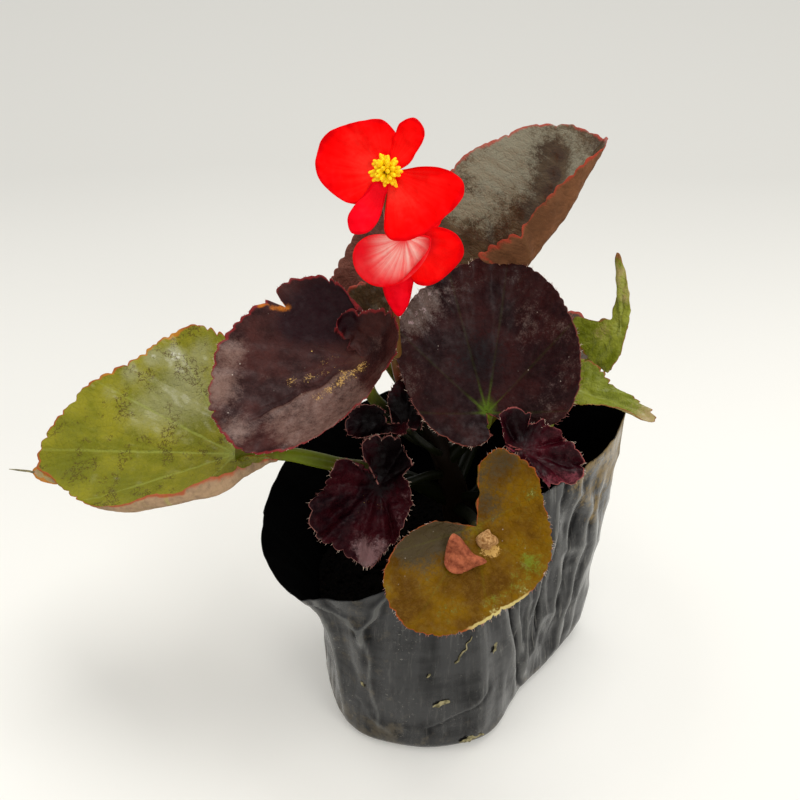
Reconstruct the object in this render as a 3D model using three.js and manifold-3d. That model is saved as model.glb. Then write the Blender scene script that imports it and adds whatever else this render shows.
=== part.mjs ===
// A young begonia with dark round leaves and two red blooms, growing in a black film nursery bag.
// Millimetres, +Z up. The origin is the middle of the bag's flat base, on the surface it stands on.
// X runs to the right of the front view and Y runs away from the viewer.
import * as THREE from "three";
import { mergeVertices } from "three/addons/utils/BufferGeometryUtils.js";
import Module from "manifold-3d";

const wasm = await Module();
wasm.setup();

// ---- Driving dimensions ---------------------------------------------------------------------

const GAP = 0.3; // clearance between pieces that touch on the real plant
const BLADE = 0.7; // thickness of leaves and petals
const CUP = 1.8; // how late a blade curves up towards its margin
const BAG_WALL = 0.8; // film, thickened so that it is a solid
const BAG_LEVELS = 7; // rings between the base and the rim
const BAG_SIDES = 38;
const BAG_SAMPLES = 400; // points tried along an outline for each side of the bag
const SOIL_HEIGHT = 33; // middle height of the potting mix
const SOIL_BLOCK = [120, 100, 13, 11]; // the block that the soil is cut from, and its squares
const STEM_SIDES = 8;
const LEAF_STALK_SIDES = 7;
const STALK_STEP = 7; // length of stalk between two rings of points
const NOTCH = 0.8; // depth of the scallops in a leaf's margin
const PEDICEL = 0.9; // radius of the stalk where it meets a bloom
const STALK_SINK = 0.3; // how far a leaf stalk ends behind the middle of its blade

// The bag's outline on the ground and its wavy rim, counterclockwise seen from above.
const BAG_BASE = [
  [38, 13.6], [28, 28], [5, 38], [-22, 30], [-34, 8], [-33.9, -9.6], [-30.6, -23.5],
  [-24.7, -32.3], [-13.5, -36.8], [-2.4, -37.6], [11.8, -32.3], [19.6, -17.6], [29, -4.6],
  [34, 2.9],
];
const BAG_RIM = [
  [49.4, 22.1, 75], [37.5, 28, 73], [15.3, 35.2, 70], [-2, 39, 69], [-20, 38.5, 67],
  [-41.2, 23, 63], [-48.7, 11, 58], [-51.6, -4.8, 53], [-49.4, -15, 51], [-42.9, -26, 50],
  [-32, -31.8, 51], [-17.4, -32.7, 56], [-5.6, -26.5, 61], [7.7, -19.4, 66], [25.6, -9.2, 70],
  [41.3, 5.4, 73],
];

// The main stem rises out of the soil and thins into the flower stalk; a short side stalk
// carries the lower bloom. Each list is a centre line, with the radius as a fourth number.
const STALK = [
  [4, 8, 26, 4], [3, 6, 46, 4], [1, 4, 62, 3.6], [-4, 2, 79, 2.8], [-10, -1, 93, 2],
  [-14, -3, 106, 1.7], [-15, -3, 120, 1.5], [-14.5, -3.5, 136, 1.3], [-16.5, -5, 154, 1.1],
];
const SIDE_STALK = [[-16.2, -4.7, 150, 1.1], [-14.5, -7, 154.5, 1]];

// ---- Colours ----------------------------------------------------------------------------------

const finish = (color, roughness) =>
  new THREE.MeshStandardMaterial({ color, roughness, metalness: 0, side: THREE.DoubleSide });

const black_film = finish(0x141416, 0.42);
const potting_mix = finish(0x17110d, 0.95);
const green_stem = finish(0x5f7a2a, 0.5);
const dark_leaf = finish(0x3a1c20, 0.42);
const green_leaf = finish(0x6f7a34, 0.42);
const olive_leaf = finish(0x6d5a24, 0.45);
const bronze_leaf = finish(0x5d5546, 0.45);
const red_petal = finish(0xe00a10, 0.5);
const yellow_anther = finish(0xf2c414, 0.6);
const dry_scrap = finish(0x8a4424, 0.8);

// ---- Leaves -----------------------------------------------------------------------------------
// at: where the leaf stalk meets the blade; face: the way the upper side looks; tip: the midrib.
// rim: margin points [along the midrib, across it, lifted off the face], counterclockwise seen
// from the upper side, from one side of the notch at the stalk to the other.
// stalk: the leaf stalk's centre line from inside the stem up to the blade.

const LEAVES = {
  leaf_left_dark: {
    at: [-23, -6, 111], face: [-0.12, -0.52, 0.85], tip: [-0.89, -0.32, -0.32],
    rim: [
      [-5, -12.5, 5], [-3.5, -19, 8], [3, -24, 8], [11.5, -24, 7], [20.5, -24, 7],
      [30.5, -20, 6], [37.5, -11, 5], [40.5, -3.5, 4], [40.5, 6, 5], [35, 13.5, 7], [24, 17, 8],
      [12.5, 16.5, 9], [2, 12.5, 9], [-6, 7.5, 9], [-10.5, 2, 10], [-11.5, -4.5, 12],
      [-8, -11, 12],
    ],
    stalk: [[-6, 1, 84], [-15, -2, 90], [-21, -3, 98]], radius: [2, 1.5],
    around: 34, rings: 4, material: dark_leaf,
  },
  leaf_centre_dark: {
    at: [9, -10, 97], face: [-0.05, -0.66, 0.75], tip: [0.08, 0.75, 0.66],
    rim: [
      [-2.5, -5, 0.5], [-3.5, -12, 1.5], [-1.5, -19, 4], [6.5, -23, 7], [16, -23, 8], [21.5, -21.5, 7],
      [32, -16.5, 5], [38.5, -9, 4], [41, 1.5, 6], [38, 8, 7], [31.5, 17.5, 8], [22.5, 23.5, 8],
      [13, 24.5, 8], [0, 19, 6], [-7.5, 12, 4], [-9.5, 3, 2], [-6.5, -1.5, 1],
    ],
    stalk: [[-1, 3, 71], [5, 1, 80], [8.5, -4, 88]], radius: [2.1, 1.6],
    around: 34, rings: 4, material: dark_leaf,
  },
  leaf_left_green: {
    at: [-57, -8, 82], face: [-0.15, -0.42, 0.9], tip: [-0.99, 0.07, -0.13],
    rim: [
      [-4.5, -14, 3], [-1, -28.5, 4], [4, -34.5, 5], [12.5, -38, 5], [21.5, -34.5, 4],
      [30.5, -28.5, 4], [40, -23.5, 3], [47.5, -16.5, 2], [52.5, -10.5, 1], [55, -0.5, 0],
      [49.5, 5, 1], [40, 13.5, 3], [28.5, 18.5, 6], [18.5, 18.5, 9], [4.5, 17, 11], [-4, 12, 9.5],
      [-11, 7, 7], [-13, 3.5, 3],
    ],
    stalk: [[2, 5, 55], [-14, -2, 70], [-29.5, -7.5, 78], [-44, -8, 82]], radius: [2.3, 1.8],
    around: 34, rings: 4, material: green_leaf,
  },
  leaf_back_tall: {
    at: [15.2, 19.4, 119.2], face: [-0.83, -0.1, 0.54], tip: [0.47, 0.39, 0.79], cup: 1.05,
    rim: [
      [14, -12, 9], [20.5, -13.4, 8], [27, -14, 6], [34, -14.8, 3.5], [39.5, -13.8, 0.5],
      [43.5, -9.5, -1], [43.5, -2, 0.5], [42, 2.5, 4], [40, 6, 9], [35.5, 9.5, 14],
      [30, 12, 17.5], [24, 14.5, 21.5], [17.5, 15.5, 22.5], [7.5, 15, 22], [-3, 10.5, 16],
      [-5.5, 7, 10],
    ],
    stalk: [[0, 3.6, 66], [4, 12, 80], [11, 22, 101]], radius: [2.1, 1.5],
    around: 32, rings: 4, material: bronze_leaf,
  },
  leaf_right_upright: {
    at: [36, 8, 100], face: [-0.7, -0.5, 0.5], tip: [0.18, 0.56, 0.81],
    rim: [
      [-2, -5.8, 0], [1.2, -9, 0], [5, -10.5, -1], [11.3, -8.5, -3], [17, -6.5, -5],
      [22.3, -3.8, -6], [29, -0.8, -6], [30.4, 0.9, -5], [27, 1.8, -3], [21.5, 2.2, -1],
      [16, 2.6, 2], [12.3, 4.5, 4.5], [9.5, 7.5, 4], [4.5, 5.5, 2],
    ],
    stalk: [[2.7, 5.7, 51], [16, 9, 66], [32, 13, 85], [38, 11.5, 95]], radius: [1.7, 1.3],
    around: 20, rings: 3, material: green_leaf,
  },
  leaf_right_low: {
    at: [29, 0.1, 98.3], face: [-0.1, -0.38, 0.92], tip: [0.9, -0.42, -0.08],
    rim: [
      [-1.5, -4.5, 1], [4.5, -4.5, 1], [9.5, -3.5, 0], [16, -2.5, 0], [20, -1.5, -2],
      [25, 0, -4], [26.5, 2.5, -4], [23, 4.5, -2], [19, 5.5, 0], [14, 6.5, 1], [7, 8, 2],
      [1, 8.5, 3], [-2, 5, 3],
    ],
    stalk: [[3, 6, 45], [15, 0, 60], [24, 0, 78]], radius: [1.5, 1.2],
    around: 20, rings: 3, material: green_leaf,
  },
  leaf_front_olive: {
    at: [6, -33, 78], face: [0.05, -0.72, 0.69], tip: [0.3, -0.65, -0.7],
    rim: [
      [-4.5, -10, 4], [-3.5, -17, 5], [0.5, -23.5, 5], [6, -27, 4], [14.5, -27, 3],
      [19.5, -24.5, 3], [23.5, -18, 4], [24, -9, 4], [22.5, -0.5, 4], [19.5, 9, 3],
      [14.5, 14.5, 3], [8.5, 17.5, 3], [-1, 18, 4], [-8.5, 18, 6], [-13.5, 15, 7],
      [-17, 10.5, 7], [-14.5, 5, 5],
    ],
    stalk: [[2.5, 5, 53], [5, -10, 63], [6, -24, 72]], radius: [1.8, 1.3],
    around: 30, rings: 4, material: olive_leaf,
  },
  leaf_front_ruffled: {
    at: [-19, -20, 81], face: [-0.1, -0.74, 0.67], tip: [-0.09, -0.66, -0.74],
    rim: [
      [-7.5, -6, 8], [-1.5, -10, 6], [3, -15.5, 4], [9, -17, 2], [13.5, -15, 2],
      [17.5, -9.5, 3], [21, -3, 5], [21, 2, 6], [17, 4.5, 4], [13, 6.5, 3], [9, 7.5, 3],
      [2, 9.5, 4], [-3, 10, 6], [-8, 9.5, 9], [-12, 5.5, 10], [-11.5, 1, 10], [-9.5, -2.2, 9],
    ],
    stalk: [[-1, 3, 67], [-8, -7, 73], [-15, -14, 76]], radius: [1.4, 1],
    around: 24, rings: 3, ruffle: [0.9, 5], material: dark_leaf,
  },
  leaf_right_young: {
    at: [18, -19.2, 92.1], face: [0.2, -0.61, 0.77], tip: [0.9, -0.19, -0.39],
    rim: [
      [2, -3.5, 2], [7, -6, 2], [10.5, -7, 2], [14, -4, 1], [17, 0.5, 2], [15, 4, 3],
      [10, 6.5, 3], [6.5, 8.5, 4], [2, 8, 5], [-1.5, 5.5, 6.5], [-6, 5, 8], [-9, 2.5, 8.5],
      [-8, -1, 7], [-3.5, -2, 4],
    ],
    stalk: [[2.5, 5, 57], [10, -6, 67], [16, -13, 80]], radius: [1.4, 1.1],
    around: 22, rings: 3, ruffle: [0.6, 4], material: dark_leaf,
  },
  leaf_crown_left: {
    at: [-17, -12, 95], face: [-0.15, -0.7, 0.7], tip: [-0.99, 0.07, -0.14],
    rim: [
      [0, -3.5, 3], [3.5, -5, 4], [8.5, -4, 3.5], [10.5, -0.5, 3], [9.5, 3, 3], [4.5, 4, 3.5],
      [-1, 3.5, 4], [-5.5, 3.5, 4.5], [-6.5, 0.5, 4],
    ],
    stalk: [[-3, 2.5, 76], [-9, -5, 84], [-14, -9, 91]], radius: [1.1, 0.8],
    around: 16, rings: 2, ruffle: [0.5, 3], material: dark_leaf,
  },
  leaf_crown_right: {
    at: [-11.7, -11, 93], face: [0.05, -0.9, 0.42], tip: [-0.09, 0.42, 0.9],
    rim: [
      [-1, -3.5, 1], [3, -4.5, 2], [8.5, -4, 1.5], [13.5, 0, 1], [9.5, 4, 1], [3.5, 4, 1.5],
      [-1, 3, 1],
    ],
    stalk: [[-2, 3, 73.5], [-5, -6, 82], [-10, -8.5, 89]], radius: [1, 0.8],
    around: 14, rings: 2, ruffle: [0.4, 3], material: dark_leaf,
  },
  leaf_back_left: {
    at: [-21, 16, 109], face: [-0.25, -0.78, 0.57], tip: [-0.19, 0.62, 0.76],
    rim: [
      [-2, -5, 1], [0.5, -9, 2], [6.5, -13.5, 4], [15, -16.5, 5], [25, -14, 5], [29.5, -8, 5],
      [26, -4, 4], [20, 1.5, 4], [14, 7, 4], [8, 10.5, 4], [2, 9, 3], [-1.5, 4.5, 1],
    ],
    stalk: [[1.5, 4.5, 58], [-7, 12, 77], [-17, 18, 99]], radius: [1.7, 1.3],
    around: 24, rings: 3, material: bronze_leaf,
  },
  leaf_rear_low: {
    at: [-20, 6, 110], face: [-0.4, -0.75, 0.52], tip: [-0.35, 0.35, 0.87],
    rim: [
      [-2, -4, 1], [2, -8, 2], [8, -9, 2], [13.5, -5, 2], [14.5, 1, 2], [11, 7, 2], [4, 8, 2],
      [-1.5, 4.5, 1],
    ],
    stalk: [[-4, 2.3, 78.5], [-10, 7, 88], [-18, 9, 101]], radius: [1.3, 1],
    around: 18, rings: 3, material: olive_leaf,
  },
  leaf_rear_right: {
    at: [20, 20, 91], face: [0.1, 0.05, 0.99], tip: [0.3, 0.95, -0.08],
    rim: [
      [-3, -7, 2], [-1, -14, 4], [6, -19, 6], [16, -19, 6], [25, -13, 5], [29, -3, 4],
      [27, 7, 3], [19, 12, 3], [9, 13, 2], [0, 11, 2], [-3.5, 6, 1],
    ],
    stalk: [[1.7, 4.7, 60], [8, 14, 71], [16, 19, 82]], radius: [1.8, 1.4],
    around: 26, rings: 3, material: bronze_leaf,
  },
};

// ---- Blooms -----------------------------------------------------------------------------------
// Each petal shares the bloom's middle, and its rim is a fan to one side of it. open is the way
// the anthers stand, and back is the way to the knob that carries the petals.

const BLOOMS = {
  bloom_upper: {
    at: [-16.3, -12, 168.6], face: [-0.18, -0.8, 0.57],
    open: [-0.18, -0.8, 0.57], back: [0.18, 0.8, -0.57],
    petals: [
      {
        tip: [-0.96, 0.26, 0.07],
        rim: [
          [-1, -8.5, 1], [3.5, -11.5, 2], [8.5, -10, 3], [13.5, -7.5, 3],
          [16.5, -4, 3], [17, -0.5, 3], [16.5, 3, 3], [14, 6, 3], [8, 9, 3], [5, 9, 2],
        ],
        around: 13,
      },
      {
        tip: [0.67, -0.53, -0.53],
        rim: [
          [8, -8, 2], [13.5, -9.5, 3], [17, -6, 3], [18.5, -1, 3],
          [18.5, 6, 2], [17.5, 8.5, 2], [15, 10, 2], [8.5, 9, 2],
        ],
        around: 13,
      },
      {
        tip: [0.42, 0.46, 0.78],
        rim: [
          [0.5, -1.3, 0], [4, -4, 0.6], [7, -4.7, 1.2], [10, -5, 2], [12.5, -4, 2.8], [13.8, -1, 3],
          [11.5, 1.5, 2.2], [8, 1.8, 1.1], [0.5, 1.3, 0],
        ],
        raise: 0.6,
        around: 9,
      },
      {
        tip: [-0.52, -0.42, -0.75],
        rim: [
          [0.5, -1.3, 0], [8.5, -1.8, 1.1], [11.5, -2.2, 1.9], [14.5, -1.8, 2.8], [16.5, 1, 3.5],
          [15, 3.7, 3], [12.5, 4.6, 2.2], [8, 3.6, 1], [0.5, 1.4, 0],
        ],
        raise: 0.6,
        around: 9,
      },
    ],
    anthers: 20,
  },
  bloom_lower: {
    at: [-12.3, -8, 148.5], face: [-0.08, -0.88, 0.46],
    open: [0.22, 0.72, -0.66], back: [-0.05, -0.1, 1],
    petals: [
      {
        tip: [-0.36, -0.36, -0.86],
        rim: [
          [0, -2.5, 0], [1.5, -5.5, 0], [3.5, -8.5, -1], [6, -10.5, -2], [9, -11, -3],
          [14, -8.5, -5], [15.5, -4.5, -6], [12.5, 0.5, -6], [8.5, 3.5, -5], [4.5, 5, -3],
          [0, 2.5, 0],
        ],
        around: 13,
      },
      {
        tip: [0.67, -0.19, -0.72],
        rim: [
          [0.5, -2, 0], [5, -4.5, -2], [10, -6, -4], [13, -3.5, -5], [13.8, 2, -5.5],
          [13, 9, -5], [8, 11, -3], [3.5, 8, -1], [0, 2.5, 0],
        ],
        around: 12,
      },
      {
        tip: [-0.11, -0.42, -0.9],
        rim: [
          [0.5, -1.5, 0], [7, -5, -2], [13.5, -4.5, -5.5], [18, -2.5, -8.5], [20.5, 0, -9.5],
          [18, 1.8, -8.5], [12, 3, -4.5], [6, 3, -1.5], [0.5, 1.5, 0],
        ],
        raise: -0.6,
        around: 9,
      },
      {
        tip: [0.55, 0.75, 0.35],
        rim: [
          [0.5, -1.5, 0], [4, -4, -2], [8, -4.5, -5.5], [11, 0, -8], [8, 4.5, -5.5], [4, 4, -2],
          [0.5, 1.5, 0],
        ],
        raise: -0.6,
        around: 9,
      },
    ],
    anthers: 10,
  },
};
const KNOB = 2; // radius of the knob that carries a bloom's petals
const KNOB_BACK = 1.2; // how far its middle lies from the petals' meeting point
const ANTHER = 4.3; // reach of the longest anthers
const ANTHER_RADII = [0.4, 0.85, 0.4]; // a club: its foot, its widest part and its tip
const CUSHION = 1.3; // radius of the cushion that the anthers stand on
const CUSHION_RISE = 1.8; // how far its middle stands clear of the petals

// A dried brown petal that has fallen on the front olive leaf, as margin points on that leaf.
const SCRAP_RIM = [
  [7, -10.3, 2.8], [10, -8, 2.6], [10.5, -5, 2.8], [9.8, -1, 3], [5.6, -3, 2.6],
  [2.5, -4.2, 3], [0.8, -6, 2.6], [2.3, -8.4, 2.4],
];
const SCRAP_MIDDLE = [5.5, -6.2, 1.5]; // along, across and off the face of that leaf

// ---- Solids -----------------------------------------------------------------------------------

const vec = (p) => new THREE.Vector3(p[0], p[1], p[2]);

// A closed three.js geometry, as a manifold-3d solid.
function solid(geometry) {
  const bare = new THREE.BufferGeometry();
  bare.setAttribute("position", geometry.getAttribute("position"));
  bare.setIndex(geometry.index);
  const merged = mergeVertices(bare, 1e-4);
  const mesh = new wasm.Mesh({
    numProp: 3,
    vertProperties: new Float32Array(merged.attributes.position.array),
    triVerts: new Uint32Array(merged.index.array),
  });
  return new wasm.Manifold(mesh);
}

// The largest body of a solid: what a cut leaves as a loose scrap is dropped.
function largest(body) {
  return body.decompose().reduce((a, b) => (b.volume() > a.volume() ? b : a));
}

function named(name, body, material) {
  const mesh = largest(body).getMesh();
  const geometry = new THREE.BufferGeometry();
  geometry.setAttribute("position", new THREE.BufferAttribute(mesh.vertProperties, 3));
  geometry.setIndex(new THREE.BufferAttribute(mesh.triVerts, 1));
  geometry.computeVertexNormals();
  const made = new THREE.Mesh(geometry, material);
  made.name = name;
  return made;
}

function geometryOf(points, faces) {
  const geometry = new THREE.BufferGeometry();
  geometry.setAttribute("position", new THREE.Float32BufferAttribute(
    points.flatMap((p) => [p.x, p.y, p.z]), 3));
  geometry.setIndex(faces.flat());
  return geometry;
}

// A skin over closed rings of equal count, which run counterclockwise seen from the last ring.
// Each end is closed flat, by a triangulation of its outline.
function loft(rings) {
  const count = rings[0].length;
  const faces = [];
  for (let r = 0; r + 1 < rings.length; r++) {
    for (let j = 0; j < count; j++) {
      const a = r * count + j;
      const b = r * count + ((j + 1) % count);
      faces.push([a, b, b + count], [a, b + count, a + count]);
    }
  }
  const last = (rings.length - 1) * count;
  const outline = (ring) => ring.map((p) => new THREE.Vector2(p.x, p.y));
  const lid = (ring) => THREE.ShapeUtils.triangulateShape(outline(ring), []);
  lid(rings[0]).forEach(([a, b, c]) => faces.push([a, c, b]));
  lid(rings[rings.length - 1]).forEach(([a, b, c]) => faces.push([last + a, last + b, last + c]));
  return geometryOf(rings.flat(), faces);
}

// A tapering round stalk along a smooth line through points, with a radius at each of them.
function stalk(points, radii, grow = 0, sides = STEM_SIDES) {
  const path = new THREE.CatmullRomCurve3(points, false, "centripetal");
  const steps = Math.max(4, Math.round(path.getLength() / STALK_STEP));
  const frames = path.computeFrenetFrames(steps, false);
  const positions = [];
  for (let i = 0; i <= steps; i++) {
    const middle = path.getPointAt(i / steps);
    const place = path.getUtoTmapping(i / steps) * (radii.length - 1);
    const below = Math.min(Math.floor(place), radii.length - 2);
    const radius = THREE.MathUtils.lerp(radii[below], radii[below + 1], place - below) + grow;
    for (let j = 0; j < sides; j++) {
      const turn = (2 * Math.PI * j) / sides;
      positions.push(middle.clone()
        .addScaledVector(frames.normals[i], radius * Math.cos(turn))
        .addScaledVector(frames.binormals[i], radius * Math.sin(turn)));
    }
  }
  const faces = [];
  for (let i = 0; i < steps; i++) {
    for (let j = 0; j < sides; j++) {
      const a = i * sides + j;
      const b = i * sides + ((j + 1) % sides);
      faces.push([a, b, b + sides], [a, b + sides, a + sides]);
    }
  }
  for (let j = 1; j + 1 < sides; j++) {
    faces.push([0, j + 1, j], [steps * sides, steps * sides + j, steps * sides + j + 1]);
  }
  return solid(geometryOf(positions, faces));
}

const ball = (middle, radius, detail = 8) =>
  solid(new THREE.SphereGeometry(radius, detail, detail / 2).translate(...middle.toArray()));

// ---- Blades: leaves and petals ------------------------------------------------------------------

// The frame of a blade: its middle, its midrib, the way across it and the way it faces.
function bladeFrame({ at, face, tip }) {
  const up = vec(face).normalize();
  const along = vec(tip).addScaledVector(up, -vec(tip).dot(up)).normalize();
  return { at: vec(at), along, across: up.clone().cross(along), up };
}

const onBlade = (frame, x, y, z) =>
  frame.at.clone()
    .addScaledVector(frame.along, x)
    .addScaledVector(frame.across, y)
    .addScaledVector(frame.up, z);

// A thin blade with a scalloped margin. Rings of points run from the middle to the rim, which has
// twice as many, and both faces are split into triangles in the same way. A closed blade has no
// notch at its stalk.
function blade(leaf) {
  const { rim, around, rings = 3, cup = CUP, ruffle = [0, 0], notch = 0, closed = false } = leaf;
  const frame = bladeFrame(leaf);
  const edge = new THREE.CatmullRomCurve3(rim.map(vec), closed, "centripetal")
    .getSpacedPoints(2 * around);
  const place = (t, k) => {
    const wave = ruffle[0] * Math.sin((ruffle[1] * Math.PI * k) / around);
    return onBlade(frame, edge[k].x * t, edge[k].y * t, edge[k].z * t ** cup + wave * t ** 3);
  };
  const columns = closed ? around : around + 1;
  const rimCount = closed ? 2 * around : 2 * around + 1;
  const inner = (r, j) => 1 + (r - 1) * columns + (j % columns);
  const outer = (k) => 1 + (rings - 1) * columns + (k % rimCount);
  const points = [frame.at.clone()];
  for (let r = 1; r < rings; r++) {
    for (let j = 0; j < columns; j++) points.push(place(r / rings, 2 * j));
  }
  for (let k = 0; k < rimCount; k++) {
    const cut = k % 2 === 0 && k > 0 && k < 2 * around ? notch : 0;
    points.push(place(1 - cut / Math.hypot(edge[k].x, edge[k].y), k));
  }
  const faces = [];
  for (let j = 0; j < around; j++) {
    faces.push([0, inner(1, j), inner(1, j + 1)]);
    for (let r = 1; r < rings - 1; r++) {
      faces.push([inner(r, j), inner(r + 1, j), inner(r + 1, j + 1)]);
      faces.push([inner(r, j), inner(r + 1, j + 1), inner(r, j + 1)]);
    }
    const [a, b] = [inner(rings - 1, j), inner(rings - 1, j + 1)];
    const [c, d, e] = [outer(2 * j), outer(2 * j + 1), outer(2 * j + 2)];
    faces.push([a, c, d], [a, d, b], [b, d, e]);
  }
  const outline = Array.from({ length: rimCount }, (_, k) => outer(k));
  if (!closed) {
    for (let r = rings - 1; r > 0; r--) outline.push(inner(r, around));
    outline.push(0);
    for (let r = 1; r < rings; r++) outline.push(inner(r, 0));
  }
  return solid(thicken(points, faces, outline));
}

// Two faces, half the blade's thickness to each side of a surface, joined round its outline.
function thicken(points, faces, outline) {
  const surface = geometryOf(points, faces);
  surface.computeVertexNormals();
  const normals = surface.getAttribute("normal");
  const offset = (side) => points.map((p, i) =>
    p.clone().addScaledVector(new THREE.Vector3().fromBufferAttribute(normals, i),
      (side * BLADE) / 2));
  const count = points.length;
  const all = [...faces];
  faces.forEach(([a, b, c]) => all.push([a + count, c + count, b + count]));
  outline.forEach((p, i) => {
    const q = outline[(i + 1) % outline.length];
    all.push([q, p, p + count], [q, p + count, q + count]);
  });
  return geometryOf([...offset(1), ...offset(-1)], all);
}

// ---- The stem and its leaves --------------------------------------------------------------------

const toward = (bloom, way, distance) =>
  vec(bloom.at).addScaledVector(vec(bloom[way]).normalize(), distance);
const knobOf = (bloom) => toward(bloom, "back", KNOB_BACK);

function stem(grow) {
  const base = STALK[0];
  const root = [base[0], base[1], base[2] - grow, base[3]];
  const main = [root, ...STALK.slice(1), [...knobOf(BLOOMS.bloom_upper).toArray(), PEDICEL]];
  const side = [...SIDE_STALK, [...knobOf(BLOOMS.bloom_lower).toArray(), PEDICEL]];
  const skin = (line) => stalk(line.map(vec), line.map((p) => p[3]), grow);
  return skin(main).add(skin(side));
}

const stemClearance = stem(GAP);
const root = new THREE.Group();

let stemBody = stem(0);
for (const bloom of Object.values(BLOOMS)) {
  stemBody = stemBody.subtract(ball(knobOf(bloom), KNOB + GAP));
}
root.add(named("stem", stemBody, green_stem));

for (const [name, leaf] of Object.entries(LEAVES)) {
  const frame = bladeFrame(leaf);
  const end = frame.at.clone().addScaledVector(frame.up, -STALK_SINK);
  const line = [...leaf.stalk.map(vec), end];
  const [thick, thin] = leaf.radius;
  const radii = line.map((_, i) => THREE.MathUtils.lerp(thick, thin, i / (line.length - 1)));
  const body = blade({ notch: NOTCH, ...leaf }).add(stalk(line, radii, 0, LEAF_STALK_SIDES));
  root.add(named(name, body.subtract(stemClearance), leaf.material));
}

// ---- Blooms -------------------------------------------------------------------------------------

// Club-shaped anthers stand out of a small cushion in all directions of a half ball.
function anthers(bloom) {
  const middle = toward(bloom, "open", BLADE + GAP + CUSHION_RISE);
  const axis = vec(bloom.open).normalize();
  const turn = new THREE.Quaternion().setFromUnitVectors(new THREE.Vector3(0, 0, 1), axis);
  const golden = Math.PI * (3 - Math.sqrt(5));
  let cluster = ball(middle, CUSHION, 6);
  for (let i = 0; i < bloom.anthers; i++) {
    const rise = 0.15 + (0.8 * (i + 0.5)) / bloom.anthers;
    const spread = Math.sqrt(1 - rise * rise);
    const way = new THREE.Vector3(spread * Math.cos(i * golden), spread * Math.sin(i * golden), rise)
      .applyQuaternion(turn);
    const length = ANTHER * (0.8 + 0.2 * Math.abs(Math.sin(3 * i)));
    const line = [0, 0.65, 1].map((part) => middle.clone().addScaledVector(way, part * length));
    cluster = cluster.add(club(line, ANTHER_RADII));
  }
  return cluster;
}

// A straight three-sided club through three points.
function club(line, radii) {
  const way = line[2].clone().sub(line[0]).normalize();
  const turn = new THREE.Quaternion().setFromUnitVectors(new THREE.Vector3(0, 0, 1), way);
  const rings = line.map((p, i) => [0, 1, 2].map((j) =>
    new THREE.Vector3(Math.cos((j * Math.PI) / 1.5), Math.sin((j * Math.PI) / 1.5), 0)
      .multiplyScalar(radii[i]).applyQuaternion(turn).add(p)));
  const faces = [[0, 2, 1], [6, 7, 8]];
  for (const a0 of [0, 3]) {
    for (let j = 0; j < 3; j++) {
      const a = a0 + j;
      const b = a0 + ((j + 1) % 3);
      faces.push([a, b, b + 3], [a, b + 3, a + 3]);
    }
  }
  return solid(geometryOf(rings.flat(), faces));
}

for (const [name, bloom] of Object.entries(BLOOMS)) {
  let corolla = ball(knobOf(bloom), KNOB);
  bloom.petals.forEach((petal) => {
    const at = toward(bloom, "face", petal.raise ?? 0).toArray();
    corolla = corolla.add(blade({ at, face: bloom.face, ...petal }));
  });
  root.add(named(name + "_petals", corolla, red_petal));
  root.add(named(name + "_stamens", anthers(bloom), yellow_anther));
}

// ---- The dried petal on the front leaf ------------------------------------------------------------

const [along, across, off] = SCRAP_MIDDLE;
const host = bladeFrame(LEAVES.leaf_front_olive);
const scrap = blade({
  at: onBlade(host, along, across, off).toArray(),
  face: LEAVES.leaf_front_olive.face,
  tip: LEAVES.leaf_front_olive.tip,
  rim: SCRAP_RIM.map(([x, y, z]) => [x - along, y - across, z - off]),
  closed: true,
  around: 12,
  rings: 2,
});
root.add(named("dry_petal", scrap, dry_scrap));

// ---- The bag and the soil -----------------------------------------------------------------------

// Where a closed outline round the origin crosses the ray at an angle.
function atAngle(outline, angle) {
  const samples = new THREE.CatmullRomCurve3(outline.map(([x, y, z = 0]) => vec([x, y, z])), true,
    "centripetal").getPoints(BAG_SAMPLES);
  const turn = (p) => THREE.MathUtils.euclideanModulo(Math.atan2(p.y, p.x) - angle, 2 * Math.PI);
  let best = samples[0];
  for (const p of samples) {
    if (Math.min(turn(p), 2 * Math.PI - turn(p)) < Math.min(turn(best), 2 * Math.PI - turn(best))) {
      best = p;
    }
  }
  return best;
}

// The bag's wall: rings from the base to the rim. The left side stands up before it flares out,
// and the right side leans out all the way, so the power of the flare changes round the bag.
function bagRings(inset) {
  const angles = Array.from({ length: BAG_SIDES }, (_, j) => (2 * Math.PI * (j + 0.5)) / BAG_SIDES);
  const feet = angles.map((a) => atAngle(BAG_BASE, a));
  const lips = angles.map((a) => atAngle(BAG_RIM, a));
  const rings = [];
  for (let r = 0; r <= BAG_LEVELS; r++) {
    const v = r / BAG_LEVELS;
    rings.push(angles.map((angle, j) => {
      const flare = v ** (2.2 - 1.4 * Math.cos(angle - 0.35));
      return new THREE.Vector3(
        THREE.MathUtils.lerp(feet[j].x, lips[j].x, flare),
        THREE.MathUtils.lerp(feet[j].y, lips[j].y, flare),
        lips[j].z * v);
    }));
  }
  return inset ? rings.map((ring, r) => ring.map((p, j) => inward(rings, r, j, inset))) : rings;
}

// A wall point moved squarely into the bag.
function inward(rings, r, j, distance) {
  const ring = rings[r];
  const count = ring.length;
  const round = ring[(j + 1) % count].clone().sub(ring[(j + count - 1) % count]);
  const upper = rings[Math.min(r + 1, BAG_LEVELS)][j];
  const lower = rings[Math.max(r - 1, 0)][j];
  const out = round.cross(upper.clone().sub(lower)).normalize();
  const moved = ring[j].clone().addScaledVector(out, -distance);
  if (r === 0) moved.z = distance;
  if (r === BAG_LEVELS) moved.z = ring[j].z;
  return moved;
}

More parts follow.
